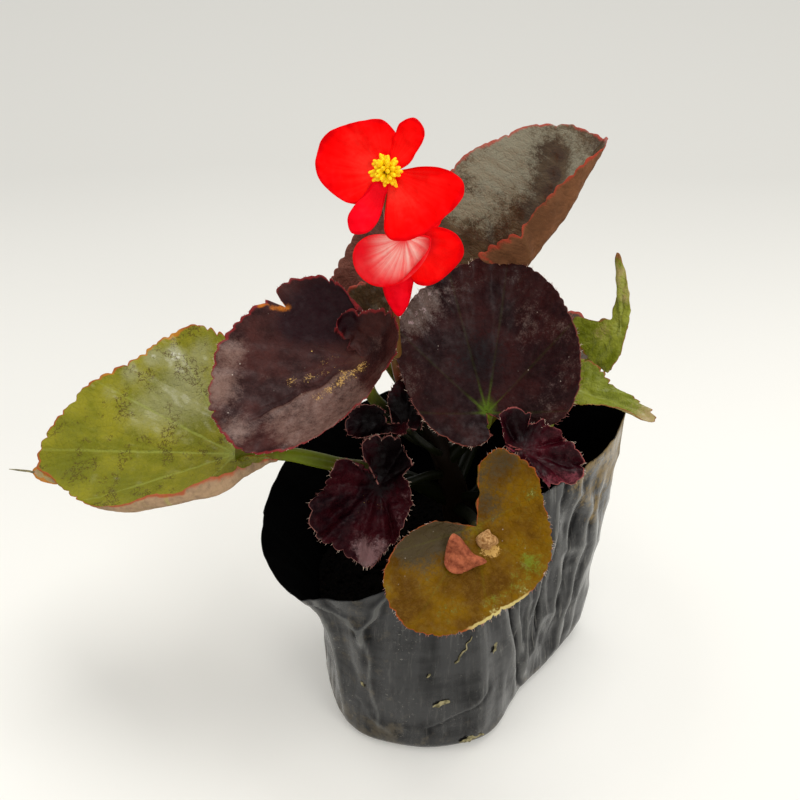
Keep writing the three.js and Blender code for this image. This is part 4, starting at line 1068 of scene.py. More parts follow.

# A petal's patch lays a painted highlight above zero and painted shade below, but on the coral petal below
# zero it only keeps the petal red, without its pale streaks.
BLOOMS = {
    "bloom_upper": dict(
        at=(-16.3, -12, 168.6), face=(-0.18, -0.8, 0.57), open=(-0.18, -0.8, 0.57),
        back=(0.18, 0.8, -0.57), anthers=60,
        petals=[
            dict(tip=(-0.96, 0.26, 0.07), look="scarlet",
                 patch=[(4, 0, 5, 0.6), (9, -6, 3, 0.4), (12, 5, 4, -0.4)],
                 rim=[(-1, -8.5, 1), (3.5, -11.5, 2), (8.5, -10, 3), (13.5, -7.5, 3),
                      (16.5, -4, 3), (17, -0.5, 3), (16.5, 3, 3), (14, 6, 3), (8, 9, 3),
                      (5, 9, 2)]),
            dict(tip=(0.67, -0.53, -0.53), look="scarlet",
                 patch=[(3, -3, 4, 0.6), (8, -1, 4, 0.4), (15, -6, 3, -0.4)],
                 rim=[(8, -8, 2), (10.4, -10, 2.3), (12.8, -10, 2.7), (15.4, -7.6, 3),
                      (16.8, -4.6, 3), (17.4, -1, 3), (17.6, 3.3, 3), (17.7, 6.8, 3),
                      (16.7, 9.5, 2.6), (14.4, 11.3, 2.5), (11, 11, 2), (8.3, 9.6, 2),
                      (5.7, 7.2, 2), (3.6, 4.8, 1.5)]),
            dict(tip=(0.42, 0.46, 0.78), look="scarlet", lift=0.6,
                 rim=[(0.5, -1.3, 0), (4, -4, 0.6), (7, -4.7, 1.2), (10, -5, 2), (12.5, -4, 2.8),
                      (13.8, -1, 3), (11.5, 1.5, 2.2), (8, 1.8, 1.1), (0.5, 1.3, 0)]),
            dict(tip=(-0.52, -0.42, -0.75), look="crimson", lift=0.6,
                 rim=[(0.5, -1.3, 0), (8.5, -1.8, 1.1), (11.5, -2.2, 1.9), (14.5, -1.8, 2.8),
                      (16.5, 1, 3.5), (15, 3.7, 3), (12.5, 4.6, 2.2), (8, 3.6, 1),
                      (0.5, 1.4, 0)]),
        ]),
    "bloom_lower": dict(
        at=(-12.3, -8, 148.5), face=(-0.08, -0.88, 0.46), open=(0.22, 0.72, -0.66),
        back=(-0.05, -0.1, 1), anthers=16,
        petals=[
            dict(tip=(-0.36, -0.36, -0.86), look="coral", lift=0.9, roll=[(0.5, 1.02, 2.4, 0.7)],
                 patch=[(7, -9, 4.5, -0.95), (12.5, -5, 3.5, -0.7)],
                 rim=[(0.2, -1.8, 0), (2.7, -8, -1), (6.3, -10.5, -3), (9.7, -10.3, -4),
                      (12.7, -8.1, -5), (14.3, -4, -5), (13.4, -0.3, -4), (10.6, 3.1, -3),
                      (6.7, 5.4, -1), (2.4, 6.6, 0.8), (-0.5, 6.6, 1.8), (-2.3, 5.9, 2),
                      (-1.6, 2, 1)]),
            dict(tip=(0.67, -0.19, -0.72), look="scarlet",
                 patch=[(4, 2, 4.5, -0.9), (5, -1.5, 1.2, 1.2), (11, 1, 4, 0.3), (9, 7, 3, 0.1)],
                 rim=[(0.5, -2, 0), (5, -4.5, -2), (10, -6, -4), (13, -3.5, -5),
                      (13.8, 2, -5.5), (12.6, 7.6, -5), (8.2, 9.6, -3), (3.5, 7.6, -1),
                      (0, 2.5, 0)]),
            dict(tip=(-0.11, -0.42, -0.9), look="crimson", lift=-0.6,
                 rim=[(0.5, -1.5, 0), (7, -5, -2), (13.5, -4.5, -5.5), (18, -2.5, -8.5),
                      (20.5, 0, -9.5), (18, 1.8, -8.5), (12, 3, -4.5), (6, 3, -1.5),
                      (0.5, 1.5, 0)]),
            dict(tip=(0.55, 0.75, 0.35), look="scarlet", lift=-0.6,
                 rim=[(0.5, -1.5, 0), (4, -4, -2), (8, -4.5, -5.5), (11, 0, -8), (8, 4.5, -5.5),
                      (4, 4, -2), (0.5, 1.5, 0)]),
        ]),
}


def beyond(bloom, way, distance):
    """A place some mm from a bloom's middle, on one of its ways."""
    return np.array(bloom["at"]) + unit(bloom[way]) * distance


def joined(first, second):
    """Two stalks as one skin."""
    start = len(first[0])
    faces = first[1] + [tuple(v + start for v in face) for face in second[1]]
    return (np.vstack([first[0], second[0]]), faces,
            {"run": np.concatenate([first[2]["run"], second[2]["run"]])})


upper_knob = beyond(BLOOMS["bloom_upper"], "back", KNOB_BACK)
lower_knob = beyond(BLOOMS["bloom_lower"], "back", KNOB_BACK)
main_rows = np.array([*STALK, (*upper_knob, PEDICEL)])
side_rows = np.array([*SIDE_STALK, (*lower_knob, PEDICEL)])
stem_skin = joined(tube(main_rows[:, :3], main_rows[:, 3], 0.06, 3, 28, 1.0),
                   tube(side_rows[:, :3], side_rows[:, 3], 0.04, 4, 20, 0.6))
stem = piece("stem_skin", stem_skin, RED_STALK, "stem")
print("stem faces:", len(stem.data.polygons))

# %% [markdown]
# ## Petals
# A petal is a soft saturated red blade with a satin glow. Thin flesh lets some light through.
# Faint paler streaks fan out from its foot, and they are strong on the petal that is seen from
# behind, where they also paint the light on its domed back. A petal's patches lay a painted
# highlight above zero and painted shade below.


# %% The finish of a petal
def petal_finish(name, deep, pale, streak, streak_amount, edge, shade=(150, 0, 14)):
    finish = Finish(name, Specular_IOR_Level=0.02, Coat_Roughness=0.35)
    ring, fan, margin, patch = finish.values("ring", "fan", "margin", "patch")
    soft, fine = finish.noise(6, 3, 0.6), finish.noise(0.8, 3, 0.6)
    ray = finish.add("ShaderNodeTexNoise", {"noise_dimensions": "1D"},
                     {"W": fan * 1.6 + ring * 0.5 + (fine - 0.5) * 0.2, "Scale": 1.5,
                      "Detail": 5.0, "Roughness": 0.6})
    finish.paint(soft.step(0.45, 0.65) * 0.8, pale, over=deep)
    # painted shade where the patch is below zero (on the coral petal, a red of its own)
    finish.paint((0 - patch + (soft - 0.5) * 0.5).step(0.1, 1) * 0.7, shade)
    # a painted highlight where the patch is above zero
    finish.paint((patch + (soft - 0.5) * 0.5 + (fine - 0.5) * 0.4).step(0.1, 1.1) * 0.22, streak)
    # pale streaks that fan from the foot; strong on the coral petal, they also paint the light on its domed
    # back
    heart = ring.step(0.98, 0.35) * ring.step(0.02, 0.3)
    rays = (ray.step(0.25, 0.75) * 0.6 + soft * 0.5) * heart * (patch.least(0) + 1)
    finish.paint(rays * streak_amount, streak)
    finish.paint((margin + (soft - 0.5) * 3).step(1.4, 0.1) * 0.8, edge)
    finish.feed("Roughness", fine * 0.2 + 0.5)
    finish.feed("Coat Weight", (soft - 0.4).most(0) * 0.1)
    finish.relief(ray * 0.25 * ring + fine * 0.05 + soft * 0.9, 0.7)
    return finish


PETAL_FINISHES = {
    "scarlet": petal_finish("scarlet_petal", (244, 0, 2), (255, 4, 4), (255, 110, 88), 0.08,
                            (208, 0, 8)),
    "crimson": petal_finish("crimson_petal", (236, 0, 20), (250, 2, 28), (252, 80, 88), 0.08,
                            (204, 0, 18)),
    "coral": petal_finish("coral_petal", (240, 26, 40), (252, 60, 62), (255, 214, 200), 1.0,
                          (238, 0, 12), (236, 14, 30)),
}
print("petal finishes:", ", ".join(PETAL_FINISHES))

# %% [markdown]
# ## Making the petals
# A petal is a blade without ribs, on the face of its bloom. Where two petals overlap, one is
# lifted off that face a little, so that they don't cut each other.

# %% Making the petals
PETAL_COLUMNS, PETAL_RINGS = 150, 44

for name, bloom in BLOOMS.items():
    for number, petal in enumerate(bloom["petals"]):
        shape = {"frill": (0.3, 8), "notch": 0, **petal, "face": bloom["face"],
                 "at": beyond(bloom, "face", petal.get("lift", 0))}
        skin = blade(shape, PETAL_COLUMNS, PETAL_RINGS, 300 + number, thick=(0.5, 0.28),
                     uneven=0.45)
        piece(f"{name}_petal_{number + 1}", skin, PETAL_FINISHES[petal["look"]],
              None if number else name + "_petals")
print("petals:", sum(len(b["petals"]) for b in BLOOMS.values()))

# %% [markdown]
# ## Small things that grow on surfaces
# Anthers, margin hairs, grit and crumbs of soil all repeat one small shape many times. Geometry
# Nodes do that: one tree sets a shape on given points, another scatters grains over a skin. Both
# end in plain mesh, because copies that only exist as instances are lost on export.


# %% Growth rules
class Growth(Recipe):
    """A geometry node tree whose inputs are given by name and kind."""

    def __init__(self, name, **kinds):
        super().__init__(bpy.data.node_groups.new(name, "GeometryNodeTree"))
        face = self.tree.interface
        face.new_socket("Geometry", in_out="OUTPUT", socket_type="NodeSocketGeometry")
        for label, kind in {"Geometry": "Geometry", **kinds}.items():
            face.new_socket(label, in_out="INPUT", socket_type="NodeSocket" + kind)
        self.entry = self.tree.nodes.new("NodeGroupInput")
        self.exit = self.tree.nodes.new("NodeGroupOutput")

    def given(self, label):
        return Wire(self, self.entry.outputs[label])

    def finish(self, geometry):
        plain = self.add("GeometryNodeRealizeInstances", {}, {"Geometry": geometry})
        coated = self.add("GeometryNodeSetMaterial", {},
                          {"Geometry": plain, "Material": self.given("Finish")})
        self.tree.links.new(coated.socket, self.exit.inputs[0])

    def random(self, low, high, shift=0):
        """A number for each point between low and high, from the rule's seed."""
        return self.add("FunctionNodeRandomValue", {"data_type": "FLOAT"},
                        {"Min": low, "Max": high, "Seed": self.given("Seed") + shift}, 1)


def grown(name, source, rule, finish, values):
    """Runs a growth rule on a source object and keeps the result as a plain piece."""
    modifier = source.modifiers.new(name, "NODES")
    modifier.node_group = rule.tree
    values = dict(values, Finish=finish.material)
    for item in rule.tree.interface.items_tree:
        if item.in_out == "INPUT" and item.name in values:
            modifier[item.identifier] = values[item.name]
    graph = bpy.context.evaluated_depsgraph_get()
    mesh = bpy.data.meshes.new_from_object(source.evaluated_get(graph), depsgraph=graph)
    source.modifiers.remove(modifier)
    mesh.name = name
    mesh.shade_smooth()
    return piece(name, mesh, finish)


# %% The rule for hairs and anthers
HEAD_HEIGHT, HEAD_STRETCH = 0.72, 0.42  # of a spike's length: where its head is, and half its height
SHARP_END = 0.35  # how wide the spike's end is, for each mm of its foot


def spike_growth():
    """Sets a tapering spike with a rounder head on each point, along the point's way."""
    rule = Growth("spikes", Length="Float", Foot="Float", Head="Float", Seed="Int",
                  Finish="Material")
    foot = rule.given("Foot")
    shaft = rule.add("GeometryNodeMeshCone", {},
                     {"Vertices": 6, "Radius Top": foot * SHARP_END, "Radius Bottom": foot,
                      "Depth": 1.0})
    head = rule.given("Head")
    ball = rule.add("GeometryNodeMeshUVSphere", {}, {"Segments": 10, "Rings": 7, "Radius": 1.0})
    stretch = rule.add("ShaderNodeCombineXYZ", {}, {"X": head, "Y": head, "Z": HEAD_STRETCH})
    high = rule.add("ShaderNodeCombineXYZ", {}, {"Z": HEAD_HEIGHT})
    ball = rule.add("GeometryNodeTransform", {},
                    {"Geometry": ball, "Translation": high, "Scale": stretch})
    has_head = rule.add("FunctionNodeCompare", {"operation": "GREATER_THAN"}, {0: head, 1: 0.001})
    both = rule.add("GeometryNodeJoinGeometry", {}, {"Geometry": shaft})
    rule.tree.links.new(ball.socket, both.socket.node.inputs[0])
    shape = rule.add("GeometryNodeSwitch", {"input_type": "GEOMETRY"},
                     {"Switch": has_head, "False": shaft, "True": both})
    way = rule.add("GeometryNodeInputNamedAttribute", {"data_type": "FLOAT_VECTOR"},
                   {"Name": "way"})
    turned = rule.add("FunctionNodeAlignRotationToVector", {"axis": "Z"}, {"Vector": way})
    long = rule.given("Length") * rule.random(0.7, 1.15)
    scale = rule.add("ShaderNodeCombineXYZ", {}, {"X": MM, "Y": MM, "Z": long})
    placed = rule.add("GeometryNodeInstanceOnPoints", {},
                      {"Points": rule.given("Geometry"), "Instance": shape, "Rotation": turned,
                       "Scale": scale})
    rule.finish(placed)
    return rule


SPIKES = spike_growth()
print("rule:", SPIKES.tree.name)


# %% Points that carry a way
def grown_on_points(name, points, ways, finish, values):
    """Spikes on loose points, given in mm, that each carry the way to grow."""
    mesh = bpy.data.meshes.new("roots")
    mesh.from_pydata((np.asarray(points) * MM).tolist(), [], [])
    mesh.attributes.new("way", "FLOAT_VECTOR", "POINT").data.foreach_set(
        "vector", unit(ways).astype(np.float32).ravel())
    source = bpy.data.objects.new("roots", mesh)
    bpy.context.scene.collection.objects.link(source)
    made = grown(name, source, SPIKES, finish, values)
    bpy.data.objects.remove(source)
    return made


# %% [markdown]
# ## Anthers
# The yellow heart of a begonia bloom is a cushion with a crowd of club-shaped anthers that stand
# out over half a ball. Their places follow the golden angle, as seeds do in a sunflower.

# %% Anthers
CUSHION_RISE = 2.0  # mm in front of the bloom's middle
CUSHION = ((-1.6, 0.8), (-0.3, 1.2), (0.9, 0.5))  # places along its way, and radii, in mm
KNOB = ((-1.3, 1.5), (-0.7, 2.0), (0.3, 1.8), (1.5, 0.95))
ANTHER, ANTHER_FOOT, ANTHER_HEAD, ANTHER_ROOT = 3.1, 0.2, 0.56, 0.6  # mm
LOWEST, RISE_SPAN = 0.1, 0.88  # how far they stand over half a ball

pollen, speck = grainy("pollen_yellow", 0.5, (240, 180, 0), (255, 230, 0),
                       Specular_IOR_Level=0.3, Subsurface_Weight=0.1, Subsurface_Scale=0.5 * MM)
pollen.feed("Roughness", speck * 0.2 + 0.5)
pollen.relief(speck * 0.1)

GOLDEN_ANGLE = math.pi * (3 - math.sqrt(5))


def round_body(middle, way, rows, wobble, seed, sides):
    """A small tube along a way, from places on it and radii."""
    return tube([middle + way * place for place, _ in rows], [radius for _, radius in rows],
                wobble, seed, sides, 0.4)


for name, bloom in BLOOMS.items():
    axis = unit(bloom["open"])
    first_side = unit(np.cross(axis, [0.2, 0.1, 1]))
    second_side = np.cross(axis, first_side)
    count = bloom["anthers"]
    rise = LOWEST + RISE_SPAN * (np.arange(count) + 0.5) / count
    spread, turn = np.sqrt(1 - rise**2)[:, None], (np.arange(count) * GOLDEN_ANGLE)[:, None]
    ways = (spread * (np.cos(turn) * first_side + np.sin(turn) * second_side)
            + rise[:, None] * axis)
    ways = ways + np.random.default_rng(12).normal(0, 0.16, ways.shape)
    middle = beyond(bloom, "open", CUSHION_RISE)
    grown_on_points(name + "_anthers", middle + ANTHER_ROOT * ways, ways, pollen,
                    {"Length": ANTHER * MM, "Foot": ANTHER_FOOT, "Head": ANTHER_HEAD,
                     "Seed": 5})
    piece(name + "_cushion", round_body(middle, axis, CUSHION, 0.05, 2, 16), pollen,
          name + "_stamens")
    knob = round_body(beyond(bloom, "back", KNOB_BACK), unit(bloom["back"]), KNOB, 0.04, 6, 24)
    piece(name + "_knob", knob, PETAL_FINISHES["crimson"])
print("anthers:", sum(b["anthers"] for b in BLOOMS.values()))

# %% [markdown]
# ## The nursery bag
# The bag is a tube of thin black polythene, pinched here and pulled there. Its base outline and
# its wavy rim are drawn, and the wall runs from one to the other, standing up at the left
# before it flares, and leaning out all the way at the right. Folds are ridges and grooves along
# drawn lines on the wall, and fine upright wrinkles come from stretched waves. Cloth simulation
# would give a new set of folds, not those of this bag.

# %% The bag's shape
BAG_BASE = [(38, 13.6), (28, 28), (5, 38), (-22, 30), (-34, 8), (-33.9, -9.6), (-30.6, -23.5),
            (-24.7, -32.3), (-13.5, -36.8), (-2.4, -37.6), (11.8, -32.3), (19.6, -17.6),
            (29, -4.6), (34, 2.9)]
BAG_RIM = [(49.4, 22.1, 75), (37.5, 28, 73), (15.3, 35.2, 70), (-2, 39, 69), (-20, 38.5, 67),
           (-41.2, 23, 63), (-48.7, 11, 58), (-51.6, -4.8, 53), (-49.4, -15, 51),
           (-42.9, -26, 50), (-32, -31.8, 51), (-17.4, -32.7, 56), (-5.6, -26.5, 61),
           (7.7, -19.4, 66), (25.6, -9.2, 70), (41.3, 5.4, 73)]
BAG_SIDES, BAG_LEVELS = 400, 122
FILM = 0.3  # half of it lies to each side of the drawn wall, in mm
ROUND = 40  # mm of wall for each radian, about the bag's radius
FOLD_ROUND = 38  # the same, as the widths of the folds are measured
FLARE, FLARE_CHANGE, FLARE_EARLY = 2.2, 1.4, 0.35  # late at the left, early at the right
FLANK = math.radians(-8)  # where the wall is most crumpled
FOLDS = [  # degrees and height at each end, width and depth in mm (a groove is negative), sharpness
    (-144, 0.97, -135, 0.12, 1.6, 1.1, 1.2), (-138, 0.97, -127, 0.3, 3, -1.0, 2),
    (-140, 0.95, -126, 0.79, 1.0, 1.5, 1.2), (-126, 0.79, -115, 1.0, 1.0, 1.3, 1.2),
    (-154, 0.8, -150, 0.15, 2.2, 0.6, 2), (-126, 0.78, -119, 0.22, 0.7, 0.45, 1.5),
    (-76, 0.62, -76, 0.06, 3.0, 0.5, 2), (-66, 0.7, -68, 0.05, 3.0, -0.5, 2),
    (-62, 0.7, -45, 0.04, 3.4, 1.3, 2), (-50, 0.5, -34, 0.0, 1.8, -2.2, 1.4),
    (-44, 0.75, -40, 0.35, 1.6, 0.7, 1.4), (-12, 0.8, -35, 0.2, 1.6, 1.1, 1.4),
    (-26, 0.95, -31, 0.4, 1.4, 0.8, 1.3), (-34, 0.9, -37, 0.45, 1.2, -0.7, 1.6),
    (-8, 0.97, -22, 0.35, 1.2, -0.9, 1.6), (5, 0.7, -3, 0.1, 1.5, 0.9, 1.4),
    (-2, 0.95, -10, 0.3, 1.2, 0.6, 1.3), (-17, 0.98, -16, 0.5, 1.0, 0.5, 1.3),
    (1, 0.9, -6, 0.35, 1.2, -0.7, 1.6), (11, 0.8, 6, 0.15, 1.3, 0.7, 1.4),
    (-98, 0.15, -70, 0.28, 1.6, -0.4, 2), (-112, 0.08, -128, 0.3, 1.4, 0.4, 1.5),
    (-150, 0.9, -150, 0.3, 2.4, -0.6, 2), (-168, 0.2, -176, 0.95, 1.8, -0.8, 1.5),
    (160, 0.1, 168, 0.9, 2.5, 0.9, 2), (142, 0.9, 138, 0.2, 1.6, -0.9, 1.4),
    (120, 0.1, 126, 0.95, 2.2, 0.8, 1.5), (98, 0.05, 90, 0.9, 1.6, -0.9, 1.4),
    (76, 0.1, 80, 0.9, 2.6, 0.7, 2), (56, 0.1, 62, 0.95, 1.6, 0.8, 1.4),
    (38, 0.9, 30, 0.15, 2.0, -0.8, 1.6), (22, 0.2, 26, 0.9, 1.6, 0.7, 1.4),
]


def by_angle(outline, angles):
    """Where a closed outline round the origin crosses rays at these angles."""
    line = smooth_line([(*p, 0)[:3] for p in outline], 900, True)[:-1]
    turn = np.unwrap(np.arctan2(line[:, 1], line[:, 0]))
    order = np.argsort(turn)
    return np.stack([np.interp(angles, turn[order], line[order, k], period=2 * np.pi)
                     for k in range(3)], 1)


def bag_wall(angles, levels):
    """Points of the bag's drawn wall, as [level, angle, xyz]."""
    foot, lip = by_angle(BAG_BASE, angles), by_angle(BAG_RIM, angles)
    v = levels[:, None]
    flare = (v ** (FLARE - FLARE_CHANGE * np.cos(angles - FLARE_EARLY))[None])[..., None]
    wall = foot[None] * (1 - flare) + lip[None] * flare
    wall[..., 2] = lip[None, :, 2] * v
    return wall


def folded(wall, angles, levels):
    """The wall with its folds and wrinkles, which die out at the base, the way out from it, and
    how far each point stands out from those beside it."""
    out = unit(np.cross(np.roll(wall, -1, 1) - np.roll(wall, 1, 1), np.gradient(wall, axis=0)))
    v = levels[:, None]
    wide = np.degrees(angles)[None]
    push = np.zeros(wall.shape[:2])
    for a0, v0, a1, v1, width, depth, sharp in FOLDS:
        share = np.clip((v - v0) / (v1 - v0), 0, 1)
        bend = 1.5 * np.sin(share * 7 + a0) * np.sin(np.pi * share)
        off = (wide - (a0 + (a1 - a0) * share) - bend + 180) % 360 - 180
        away = np.abs(off) * math.pi / 180 * FOLD_ROUND / width
        past = np.maximum(np.minimum(v0, v1) - v, v - np.maximum(v0, v1)).clip(0) * 60
        push += depth * np.exp(-(away**sharp) - (past / 5) ** 2)
    s, height = angles[None] * ROUND, wall[..., 2]
    flank = ramp(np.cos(angles - FLANK), 0.5, 0.95)[None]
    push += (0.05 + 0.1 * flank) * waves(s, height * 0.3, 9, 71)
    facets = 1 - np.abs(waves(s + 0.4 * height, 0.6 * height, 20, 76))
    push += (0.25 + 0.8 * flank) * facets
    push += 0.35 * waves(s, height * 0.6, 21, 72)
    push += (0.03 + 0.04 * flank) * waves(s, height * 0.35, 3.1, 73)
    push *= ramp(v, 0.0, 0.12)
    nearby = sum(np.roll(push, k, 1) for k in range(-3, 4)) / 7
    wall = wall + out * push[..., None]
    wall[..., 2] += (v**8) * (0.6 * waves(s, 0, 14, 74) + 0.25 * waves(s, 0, 4, 75))
    wall[..., 2] = np.maximum(wall[..., 2], 0)
    return wall, out, push - nearby


# %% The bag's mesh
bag_angles = np.linspace(-np.pi, np.pi, BAG_SIDES, endpoint=False)
bag_levels = np.linspace(0, 1, BAG_LEVELS + 1)
bag_middle, bag_out, bag_crest = folded(bag_wall(bag_angles, bag_levels), bag_angles, bag_levels)
turned_in = 2.2 * near(bag_middle[..., 2], 1.6)  # the foot turns in softly
bag_middle = bag_middle - bag_out * turned_in[..., None] * [1, 1, 0]


def bag_skin():
    """The film's outside and inside, joined over the lip, each with its own floor."""
    outside, inside = bag_middle + bag_out * FILM / 2, bag_middle - bag_out * FILM / 2
    outside[0, :, 2], inside[0, :, 2] = 0, FILM
    rows, sides = bag_middle.shape[:2]
    size = rows * sides
    index, squares = grid_faces(rows, sides, closed=True)
    squares = squares[:, [0, 3, 2, 1]]
    foot, lip = index[0], index[-1]
    over = np.stack([lip[:-1], lip[1:], lip[1:] + size, lip[:-1] + size], -1)
    faces = squares.tolist() + (squares[:, ::-1] + size).tolist() + over.tolist()
    faces += spokes(2 * size, foot, turned=True) + spokes(2 * size + 1, foot + size)
    points = np.vstack([outside.reshape(-1, 3), inside.reshape(-1, 3),
                        [[0, 0, 0], [0, 0, FILM]]])
    maps = {"outer": np.concatenate([np.ones(size), np.zeros(size), [1, 0]]),
            "crest": np.concatenate([bag_crest.ravel(), bag_crest.ravel(), [0, 0]])}
    run = np.broadcast_to(bag_angles * ROUND, (rows, sides))
    flat = np.stack([run, bag_middle[..., 2]], -1).reshape(-1, 2)
    return points, faces, maps, np.vstack([flat, flat, np.zeros((2, 2))])


print("film wall in mm:", FILM, "rows of points:", len(bag_levels))

# %% [markdown]
# ## The film's finish
# New polythene film is glossy and evenly black. This bag has stood outside: its scratches are
# worn pale, pale dust lies low down, and brown stains lie on the right flank. Light is painted
# on it as well: lighter grey patches of painted sheen, a painted highlight along its ridges, and
# thin upright streaks of painted highlight. Its inside is painted plain black, a painted shade.
# The shine is broken up, so that it comes in patches. Everything is drawn on the bag's flat map,
# whose first number runs round the bag and whose second is the height, so that noise can be
# stretched along the wall.

# %% The film's finish
film = Finish("black_film", Specular_IOR_Level=0.04, Coat_Roughness=0.2, Coat_IOR=1.5)
wrap = film.flat_map()


def film_noise(size, detail, rough, stretch=(1, 1, 1)):
    return film.noise(size, detail, rough, film.scaled(wrap, stretch))


outer, crest = film.values("outer", "crest")
across, height = film.axis(0), film.axis(2)
streaks, broad = film_noise(1.2, 5, 0.7, (1, 0.1, 1)), film_noise(10, 4, 0.6, (1, 0.1, 1))
scratch, sag = film_noise(0.9, 5, 0.75, (1, 0.25, 1)), film_noise(9, 4, 0.6, (0.3, 1, 1))
scuff = (film.noise(0.9, 4, 0.8, wrap).step(0.6, 0.65)
         * film.noise(9, 2, 0.5, wrap).step(0.48, 0.62))
crumple = film.cells(7, "DISTANCE_TO_EDGE", film.scaled(wrap, (1, 0.4, 1)))
stain = (film.noise(7, 6, 0.7) + (across - 40) * 0.014 + (height - 52) * 0.008).step(0.5, 0.68)
low_dust = (film.noise(5, 5, 0.7) + height.step(16, 2) * 0.2
            - across.step(-24, 0) * 0.14).step(0.52, 0.72)
# pale along the ridges, a painted highlight, and along the scratches, real wear
ridge_shine_and_scratches = (crest * 2.2 + scratch * 1.2 + broad * 0.5).step(0.9, 1.7)
flank = across.step(2, 26)
print("the film's masks are ready")

# %% The film's coats
# lighter grey patches over the black: painted sheen
film.paint((broad * 0.5 + sag * 0.5).step(0.4, 0.62), (36, 36, 37), over=(7, 7, 9))
# painted highlight along the ridges, and pale worn scratches
film.paint(ridge_shine_and_scratches * 0.45, (112, 112, 108))
# thin upright streaks of painted highlight, most on the right flank
film.paint(streaks.step(0.54, 0.68) * (flank * 0.4 + 0.16), (118, 116, 110))
film.paint(scuff * 0.6, (150, 148, 138))
film.paint(low_dust * 0.6, (96, 88, 74))
film.paint(stain * scratch.step(0.36, 0.5) * 0.95, (126, 106, 68))
# the inside is painted plain black, a painted shade
film.paint(1 - outer, (1, 1, 1))
film.feed("Roughness", streaks * 0.2 + 0.4 + (1 - outer) * 0.4)
shine = 0.9 - stain * 0.6 - low_dust * 0.4 + (broad - 0.5) * 2 + (sag - 0.5) * 2 + crest * 2
film.feed("Coat Weight", shine.least(1).most(0.1) * outer)
film.relief(streaks * 0.12 + broad * 0.9 + sag * 0.9 + crumple.step(0, 0.3) * 0.35, 0.9)
bag = piece("grow_bag_film", bag_skin(), film, "grow_bag")
print("bag faces:", len(bag.data.polygons))

# %% [markdown]
# ## Marks on the film
# Bits of leaf, a pale rootlet and specks of grit have dried onto the film. They lie at drawn
# places on the wall, given as degrees round the bag and the share of its height. The left
# leaf's tip has dried to a thread of the same straw colour, and its margin curls under there.

# %% Marks on the film
def on_bag(degrees, level, off=0.0):
    """A place on the bag's outside, off it by some mm, and the way out there."""
    column = int(round((degrees + 180) / 360 * BAG_SIDES)) % BAG_SIDES
    row = int(round(level * BAG_LEVELS))
    out = bag_out[row, column]
    return bag_middle[row, column] + out * (FILM / 2 + off), out


straw, _ = grainy("dry_straw", 1.5, (92, 86, 58), (160, 150, 112), Specular_IOR_Level=0.2,
                  Roughness=0.7)
ROOTLET = [(-80.5, 0.6), (-81, 0.585), (-82.5, 0.572), (-83, 0.553), (-85, 0.54), (-86.5, 0.52),
           (-86.8, 0.505), (-88.5, 0.5)]
FLECKS = {  # degrees, height, length, width, turn
    "fleck_low": (-94, 0.3, 5.2, 1.6, 0.25), "fleck_right": (-66, 0.47, 4, 1.6, 0.7),
    "fleck_base": (-80, 0.055, 7.5, 2.2, 0.15), "fleck_small": (-99, 0.47, 1.8, 0.8, 0.9),
    "fleck_left": (-126, 0.4, 2, 0.8, -0.9),
}
root_line = [on_bag(a, v, 0.25)[0] for a, v in ROOTLET]
piece("rootlet", tube(root_line, np.linspace(0.14, 0.26, len(ROOTLET)), 0.2, 4, 8, 0.4), straw)
for number, (name, (degrees, level, long, wide, turn)) in enumerate(FLECKS.items()):
    middle, out = on_bag(degrees, level, 0.12)
    side = unit(np.cross([0, 0, 1], out))
    tip = math.cos(turn) * side + math.sin(turn) * np.cross(out, side)
    shape = dict(at=middle, face=out, tip=tip, closed=True, frill=(0.3, 2),
                 rim=[(long / 2, 0, 0.2), (long / 4, wide / 2, 0), (-long / 4, wide / 2.4, 0.2),
                      (-long / 2, 0, 0), (-long / 5, -wide / 2, 0), (long / 4, -wide / 2.6, 0)])
    skin = blade(shape, 48, 10, 600 + number, thick=(0.3, 0.16), uneven=0.12)
    piece(name, skin, straw)
print("marks on the film:", 1 + len(FLECKS))

# %% The left leaf's tip
DRY_TIP = [(-110.9, -3.7, 72.6), (-112.5, -3.7, 72.4), (-113.3, -3.7, 72.7), (-116, -3.7, 73.1),
           (-118.9, -3.7, 73.5)]
TIP_CURL = dict(at=(-109, -6.6, 73.3), face=(0.64, 0.64, -0.41), tip=(-0.68, 0.73, 0.08),
                closed=True, frill=(0.15, 3), burn=[(0, 0, 9, 0.4)],
                rim=[(-2.2, -0.7, -0.4), (0.6, -1.6, -0.5), (3.3, -1.9, -0.4), (5.1, -1.2, 0),
                     (3.7, 0.9, 0), (1, 1.1, 0), (-2.2, 1.2, 0), (-4.9, 1.4, 0), (-5.6, 1, 0)])
piece("dry_leaf_tip", tube(DRY_TIP, [0.42, 0.38, 0.34, 0.24, 0.08], 0.2, 5, 8, 0.4), straw)
piece("left_leaf_curl", blade(TIP_CURL, 60, 10, 640, thick=(0.3, 0.2), uneven=0.1),
      LEAF_FINISHES["green"])
print("the dry tip is mm long:", round(DRY_TIP[0][0] - DRY_TIP[-1][0], 1))

# %% [markdown]
# ## Potting mix
# The mix fills the bag up to a lumpy surface. Its skin is a round grid just inside the film,
# closed below. Crumbs are scattered on it by a growth rule, which the dust on the leaves uses
# again.

# %% Potting mix
SOIL_HEIGHT, SOIL_GAP = 33, 1.2  # its level, and how far it stays from the film, in mm
SOIL_SIDES, SOIL_RINGS = 200, 70
SOIL_SEARCH = np.linspace(0, 0.62, 40)  # shares of the wall's height among which its level lies
CRUMB, CRUMB_DENSITY = 0.9, 3.2e5  # mm, and crumbs on a square metre
SOIL_FOOT, SOIL_FLOOR = 3.5, 0.6  # how far inside the base's outline it stands, and how high


